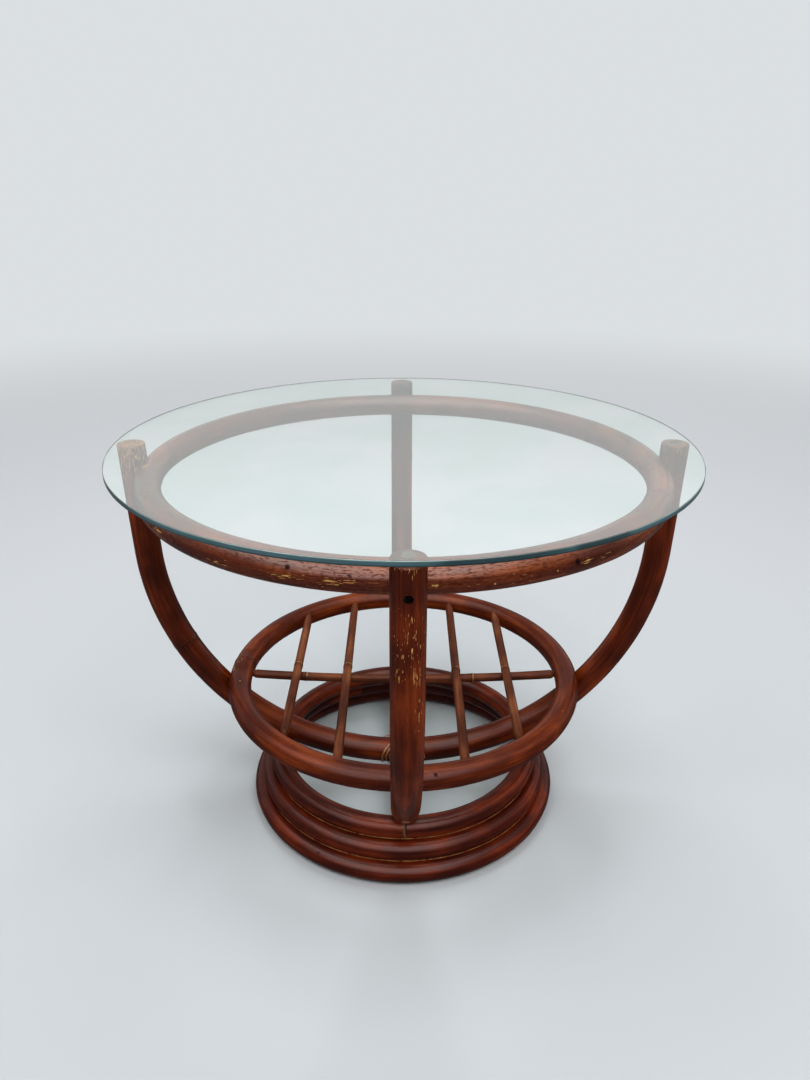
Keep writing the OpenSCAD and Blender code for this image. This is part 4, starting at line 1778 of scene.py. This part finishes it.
@dataclass
class Shelf(SubAssembly):
    """The shelf ring with its crossed spindles."""

    ring_finish: StainedPole = StainedPole(
        dark=srgb(56, 17, 7), middle=srgb(92, 32, 9), light=srgb(142, 62, 18), coat=0.6
    )
    spindle_finish: StainedPole = StainedPole(
        "spindle_pole",
        dark=srgb(56, 24, 13),
        middle=srgb(102, 50, 28),
        light=srgb(146, 88, 54),
        sheen=0.36,
        coat=0.4,
        node_line=0.9,
    )
    ring_seed: float = 21.0
    spindle_seed: float = 31.0
    joint_at: float = math.radians(170)
    band_at: float = math.radians(175)
    growth: tuple[float, ...] = (0.39, 1.05)
    worn: tuple[WornPatch, ...] = (WornPatch((-0.2292, 0.0, 0.1878), (0.02, 0.03, 0.02), 0.75),)
    knots: tuple[Mark, ...] = (
        Mark((0.034, -0.2292, 0.1858), 0.0028, 0.85),
        Mark((-0.2212, -0.002, 0.1895), 0.017, 0.4),
    )
    flecks: tuple[Mark, ...] = (
        Mark((-0.2165, -0.0418, 0.1899), 0.0011, 0.8),
        Mark((-0.2229, 0.0121, 0.1898), 0.0011, 0.8),
        Mark((0.1981, -0.1114, 0.1887), 0.0011, 0.8),
    )
    tenon_l: float = 0.012
    long_taper: float = 0.016
    cross_sag: float = 0.008
    cross_growth: tuple[float, ...] = (-0.1344, 0.094)
    depth_growth: tuple[float, ...] = (0.0064, 0.008, -0.0005, -0.0028)

    def build(self) -> None:
        """Builds and dresses the ring and the spindles."""
        size = RingSize.from_node("shelf_ring")
        band = size.ring_r * (self.band_at - self.joint_at)
        growth = (band, *self.growth)
        pole = RingPole("shelf_hoop", size.pole_r, growth, self.worn, size=size, joint_at=self.joint_at)
        ring = pole.build()
        material = self.ring_finish.material(ring.name, self.ring_seed, self.knots, self.flecks)
        self.stand_pole(pole, ring, material, "mahogany_pole", "shelf_ring")
        self._build_cross()
        for number, growth_y in enumerate(self.depth_growth, start=1):
            self._build_depth(number, growth_y)
        zinc = MetalPart("zinc_brad", srgb(176, 174, 168), srgb(120, 116, 110))
        self.keep(zinc.material(), "spindle_brads")

    def _finish_spindle(self, pole: SpindlePole, seed: float, node: str) -> None:
        """Builds one spindle and puts it in place.

        Args:
            pole: The spindle.
            seed: Its own number for the finish.
            node: The plain piece that it stands for.
        """
        spindle = pole.build()
        material = self.spindle_finish.material(spindle.name, seed)
        self.stand_pole(pole, spindle, material, "spindle", node)

    def _build_cross(self) -> None:
        """Builds the spindle that runs from left to right and sags."""
        low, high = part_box("cross_spindle")
        depth_low, depth_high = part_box("depth_spindle_1")
        pole_r = (depth_high.z - depth_low.z) / 2
        spindle = SpindlePole(
            "cross_rod",
            pole_r,
            self.cross_growth,
            middle=Vector((0, 0, low.z + pole_r)),
            length=high.x - low.x - 2 * self.tenon_l,
            turn=SHELF_TURN,
            sag=self.cross_sag,
        )
        self._finish_spindle(spindle, self.spindle_seed, "cross_spindle")

    def _build_depth(self, number: int, growth_y: float) -> None:
        """Builds one spindle that runs from front to back.

        Args:
            number: Its number from the left.
            growth_y: Where its growth node is.
        """
        node = f"depth_spindle_{number}"
        low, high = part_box(node)
        spindle = SpindlePole(
            f"depth_rod_{number}",
            (high.z - low.z) / 2,
            (growth_y,),
            middle=(low + high) / 2,
            length=high.y - low.y - 2 * self.tenon_l,
            turn=math.pi / 2 + SHELF_TURN,
            end_taper=self.long_taper,
        )
        self._finish_spindle(spindle, self.spindle_seed + number, node)


@dataclass
class Base(SubAssembly):
    """The three base rings, stepped in from the bottom, with dried glue in their grooves."""

    finish: StainedPole = StainedPole(
        dark=srgb(44, 12, 6), middle=srgb(84, 26, 10), light=srgb(138, 52, 19), coat=0.7
    )
    seed: float = 41.0
    top_growth: tuple[float, ...] = (0.3, 0.52, 0.83)
    middle_growth: tuple[float, ...] = (0.12, 0.96)
    bottom_growth: tuple[float, ...] = (0.22, 1.04)
    middle_joint_at: float = math.radians(112)
    bottom_joint_at: float = math.radians(68)
    open_joint: float = 0.0012
    open_joint_out: float = 0.01
    open_joint_wear: Triple = (0.007, 0.03, 0.03)
    bead_r: float = 0.0006
    bead_out: float = 0.004
    bead_steps: int = 288
    bead_sides: int = 8
    bead_lump: float = 0.012
    bead_lump_height: float = 0.0005
    screw_hole_r: float = 0.0051
    screw_hole_l: float = 0.0081
    tool_l: float = 0.03
    bottom_knots: tuple[Mark, ...] = (Mark((-0.1087, -0.1767, 0.0226), 0.0025, 0.7),)

    def build(self) -> None:
        """Builds and dresses the rings and the glue."""
        bottom = RingSize.from_node("base_ring_bottom", FLOOR_FLAT)
        middle = RingSize.from_node("base_ring_middle")
        top = RingSize.from_node("base_ring_top")
        worn = WornPatch((0.0, -top.ring_r - self.open_joint_out, top.z), self.open_joint_wear)
        rings = (
            RingPole(
                "base_hoop_top",
                top.pole_r,
                self.top_growth,
                (worn,),
                size=top,
                joint_at=Bearing.FRONT.turn,
                joint_gap=self.open_joint,
            ),
            RingPole(
                "base_hoop_middle",
                middle.pole_r,
                self.middle_growth,
                size=middle,
                joint_at=self.middle_joint_at,
            ),
            RingPole(
                "base_hoop_bottom",
                bottom.pole_r,
                self.bottom_growth,
                size=bottom,
                joint_at=self.bottom_joint_at,
                flat_z=0.0,
            ),
        )
        nodes = ("base_ring_top", "base_ring_middle", "base_ring_bottom")
        slant = math.atan2(bottom.ring_r - middle.ring_r, middle.z - bottom.z)
        for number, (pole, node, knots) in enumerate(zip(rings, nodes, ((), (), self.bottom_knots))):
            ring = pole.build()
            if pole.flat_z is not None:
                cut_away(ring, *(self._screw_tool(bottom, slant, bearing) for bearing in Bearing))
            material = self.finish.material(ring.name, self.seed + number, knots)
            self.stand_pole(pole, ring, material, "mahogany_pole", node)
        glue = GlueBead().material()
        for title, below, above in (("glue_low", bottom, middle), ("glue_high", middle, top)):
            bead = self._bead(title, below, above)
            dress(bead, glue)
            self.stand_for(bead, FRAME_BODY, "mahogany_pole")
        beech = PlainWood("beech_dowel", srgb(204, 168, 120), srgb(168, 128, 84))
        self.keep(beech.material(), "ring_dowels")

    def _screw_tool(self, bottom: RingSize, slant: float, bearing: Bearing) -> bpy.types.Object:
        """Adds the counterbore of a long screw, up the slanted line through the rings' middles.

        Args:
            bottom: The bottom ring.
            slant: How far that line leans inwards from upright.
            bearing: The leg that the screw goes into.

        Returns:
            A rod from the hole's bottom to outside the ring.
        """
        turn = bearing.turn
        axis = Vector((-math.sin(slant) * math.cos(turn), -math.sin(slant) * math.sin(turn), math.cos(slant)))
        centre = Vector((bottom.ring_r * math.cos(turn), bottom.ring_r * math.sin(turn), bottom.z))
        middle = centre + axis * (self.screw_hole_l - bottom.pole_r - self.tool_l / 2)
        return rod(self.screw_hole_r, self.tool_l, middle, axis)

    def _bead(self, title: str, below: RingSize, above: RingSize) -> bpy.types.Object:
        """Adds the dried glue in the outer groove between two rings.

        Args:
            title: The bead's name.
            below: The lower ring.
            above: The upper ring.

        Returns:
            The bead.
        """
        rise, step = above.z - below.z, below.ring_r - above.ring_r
        slant = math.atan2(step, rise)
        out = (below.ring_r + above.ring_r) / 2 + self.bead_out * math.cos(slant)
        z = (below.z + above.z) / 2 + self.bead_out * math.sin(slant)
        deselect()
        bpy.ops.mesh.primitive_torus_add(
            major_radius=out,
            minor_radius=self.bead_r,
            major_segments=self.bead_steps,
            minor_segments=self.bead_sides,
            location=(0, 0, z),
        )
        bead = settle(bpy.context.object)
        bead.name = title
        bead.data.name = title
        lumps = bpy.data.textures.new(title + "_lumps", "CLOUDS")
        lumps.noise_scale = self.bead_lump
        modifier = bead.modifiers.new("Lumps", "DISPLACE")
        modifier.texture = lumps
        modifier.texture_coords = "LOCAL"
        modifier.strength = self.bead_lump_height
        apply_all(bead)
        smooth(bead)
        return bead


# Studio


@dataclass(frozen=True)
class Lamp:
    """A soft square lamp, which nothing mirrors; the surround has the bright places for that."""

    title: str
    place: Triple
    aim: Triple
    size: float
    power: float

    def build(self) -> None:
        """Builds the lamp and points it."""
        light = bpy.data.lights.new(self.title, "AREA")
        light.shape = "SQUARE"
        light.size = self.size
        light.energy = self.power
        lamp = bpy.data.objects.new(self.title, light)
        bpy.context.scene.collection.objects.link(lamp)
        lamp.location = self.place
        lamp.rotation_euler = (Vector(self.aim) - Vector(self.place)).to_track_quat("-Z", "Y").to_euler()
        lamp.visible_camera = False
        lamp.visible_glossy = False
        lamp.visible_transmission = False


@dataclass(frozen=True)
class Surround:
    """The world: pale where it is seen, plain light for the wood, a bright sky to mirror.

    Each pair is where a step starts and ends, along one part of the direction: up, ahead or aside.
    """

    seen: Colour = srgb(219, 223, 226)
    air: Colour = (0.96, 0.98, 0.97)
    plain: float = 0.42
    front: float = 0.1
    back: float = 0.9
    back_from: tuple[float, float] = (-0.3, 0.45)
    sky: float = 8.0
    sky_colour: Colour = (1.0, 0.86, 0.83)
    sky_up: tuple[float, float] = (0.08, 0.62)
    sky_ahead: tuple[float, float] = (0.55, -0.05)
    sky_aside: tuple[float, float] = (0.36, 0.78)
    sky_centre_x: float = -0.1
    sky_aside_loss: float = 0.8
    sky_top: float = 0.09
    sky_top_up: tuple[float, float] = (0.42, 0.68)
    glass_low: float = 0.8
    glass_high: float = 2.0
    glass_up: tuple[float, float] = (0.2, 0.46)
    glass_top_up: tuple[float, float] = (0.48, 0.62)
    glass_top_loss: float = 0.5

    def build(self) -> None:
        """Builds the world."""
        world = bpy.data.worlds.new("studio_surround")
        bpy.context.scene.world = world
        paint = Paint(world)
        direction = paint.wire("ShaderNodeTexCoord", output="Generated")
        in_glass, on_wood = self._in_glass(paint, direction), self._on_wood(paint, direction)
        sharp = paint.ray("Is Singular Ray")
        mirrored = on_wood + (in_glass - on_wood) * sharp
        mirrored_air = self._light(paint, mirrored, paint.mix(sharp, self.sky_colour, self.air))
        plain_air = self._light(paint, self.plain, self.air)
        lighting = paint.blend(paint.ray("Is Glossy Ray"), plain_air, mirrored_air)
        seen_air = self._light(paint, 1.0, self.seen)
        whole = paint.blend(paint.ray("Is Camera Ray", "Is Transmission Ray"), lighting, seen_air)
        paint.node("ShaderNodeOutputWorld", inputs={"Surface": whole.outputs[0]})

    def _in_glass(self, paint: Paint, direction: Wire) -> Wire:
        """Says how bright the glass mirrors a direction.

        Args:
            paint: The world's nodes.
            direction: The direction.

        Returns:
            The strength.
        """
        up = paint.part(direction, "Z")
        level = up.rise(*self.glass_up) * (self.glass_high - self.glass_low) + self.glass_low
        return level * (1 - up.rise(*self.glass_top_up) * self.glass_top_loss)

    def _on_wood(self, paint: Paint, direction: Wire) -> Wire:
        """Says how bright the lacquer mirrors a direction.

        Args:
            paint: The world's nodes.
            direction: The direction.

        Returns:
            The strength.
        """
        up, ahead = paint.part(direction, "Z"), paint.part(direction, "Y")
        behind = ahead.rise(*self.back_from)
        level = behind * self.back + (1 - behind) * self.front
        aside = abs(paint.part(direction, "X") - self.sky_centre_x).rise(*self.sky_aside)
        bright = up.rise(*self.sky_up) * ahead.rise(*self.sky_ahead)
        top = up.rise(*self.sky_top_up) * self.sky_top
        return level.most(bright.most(top) * (1 - aside * self.sky_aside_loss) * self.sky)

    def _light(self, paint: Paint, strength: Operand, colour: Colour | Wire) -> bpy.types.Node:
        """Adds one light of the surround, of this strength and colour."""
        return paint.node("ShaderNodeBackground", inputs={"Color": colour, "Strength": strength})


@dataclass
class Studio:
    """A pale floor, soft lamps, a pale surround and the camera."""

    surround: Surround = Surround()
    lamps: tuple[Lamp, ...] = (
        Lamp("key", (0.9, -1.6, 3.1), (0, 0, 0.25), 2.0, 66.0),
        Lamp("fill", (-1.7, -0.7, 2.9), (0, 0, 0.2), 2.0, 34.0),
        Lamp("back", (0.2, 1.5, 3.1), (0, 0, 0.3), 1.8, 56.0),
    )
    floor_size: float = 24.0
    floor_cuts: int = 8
    floor: Colour = (0.5, 0.52, 0.545)
    floor_grain: float = 0.01
    mirrored_floor: float = 0.13
    mirrored_floor_colour: Colour = (0.9, 0.95, 1.0)
    fade: tuple[float, float] = (1.0, 4.2)
    camera_place: Triple = (-0.0118, -0.9825, 0.7992)
    yaw: float = math.radians(0.77)
    pitch: float = math.radians(23.416)
    roll: float = math.radians(0.209)
    focal_px: float = 834.6
    frame_height_px: int = 1080
    sensor_mm: float = 36.0

    def build(self) -> None:
        """Builds the floor, the surround, the lamps and the camera."""
        self._floor()
        self.surround.build()
        for lamp in self.lamps:
            lamp.build()
        self._camera()

    def _floor(self) -> None:
        """Adds the floor, which fades into the surround far behind the table."""
        deselect()
        bpy.ops.mesh.primitive_grid_add(
            x_subdivisions=self.floor_cuts, y_subdivisions=self.floor_cuts, size=self.floor_size
        )
        floor = bpy.context.object
        floor.name = "studio_floor"
        paint = Paint.named("studio_floor")
        place = paint.places()
        soft = paint.noise(place, (0.7, 0.7, 0.7), 1.0)
        darker = tuple(part - self.floor_grain for part in self.floor)
        lighter = tuple(part + self.floor_grain for part in self.floor)
        lit = paint.surface(
            {
                "Base Color": paint.mix(soft, darker, lighter),
                "Roughness": 0.95,
                "Specular IOR Level": 0.1,
            }
        )
        far = paint.node("ShaderNodeEmission", inputs={"Color": self.surround.seen, "Strength": 1.0})
        distance = paint.wire("ShaderNodeVectorMath", {"operation": "LENGTH"}, {0: place}, "Value")
        seen = paint.blend(distance.rise(*self.fade), lit, far)
        mirror_inputs = {"Color": self.mirrored_floor_colour, "Strength": self.mirrored_floor}
        mirrored = paint.node("ShaderNodeEmission", inputs=mirror_inputs)
        reflected = paint.ray("Is Glossy Ray") * (1 - paint.ray("Is Transmission Ray"))
        dress(floor, paint.finish(paint.blend(reflected, seen, mirrored)))

    def _camera(self) -> None:
        """Adds the camera where the photograph was taken from."""
        lens = bpy.data.cameras.new("photo_camera")
        lens.sensor_width = self.sensor_mm
        lens.lens = self.focal_px * self.sensor_mm / self.frame_height_px
        camera = bpy.data.objects.new("photo_camera", lens)
        bpy.context.scene.collection.objects.link(camera)
        ahead = Vector(
            (
                math.sin(self.yaw) * math.cos(self.pitch),
                math.cos(self.yaw) * math.cos(self.pitch),
                -math.sin(self.pitch),
            )
        )
        right = Vector((math.cos(self.yaw), -math.sin(self.yaw), 0))
        up = right.cross(ahead)
        rolled_right = right * math.cos(self.roll) + up * math.sin(self.roll)
        rolled_up = up * math.cos(self.roll) - right * math.sin(self.roll)
        turn = Matrix((rolled_right, rolled_up, -ahead)).transposed()
        camera.matrix_world = Matrix.Translation(self.camera_place) @ turn.to_4x4()
        bpy.context.scene.camera = camera


def main() -> None:
    """Builds the table and its studio in order."""
    logging.basicConfig(level=logging.INFO, format="%(name)s: %(message)s")
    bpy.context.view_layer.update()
    bpy.context.scene.view_settings.view_transform = "Standard"
    for assembly in (GlassTop(), UpperRing(), Bows(), Shelf(), Base()):
        log.info("Building %s", type(assembly).__name__)
        assembly.build()
    Studio().build()


if __name__ == "__main__":
    main()
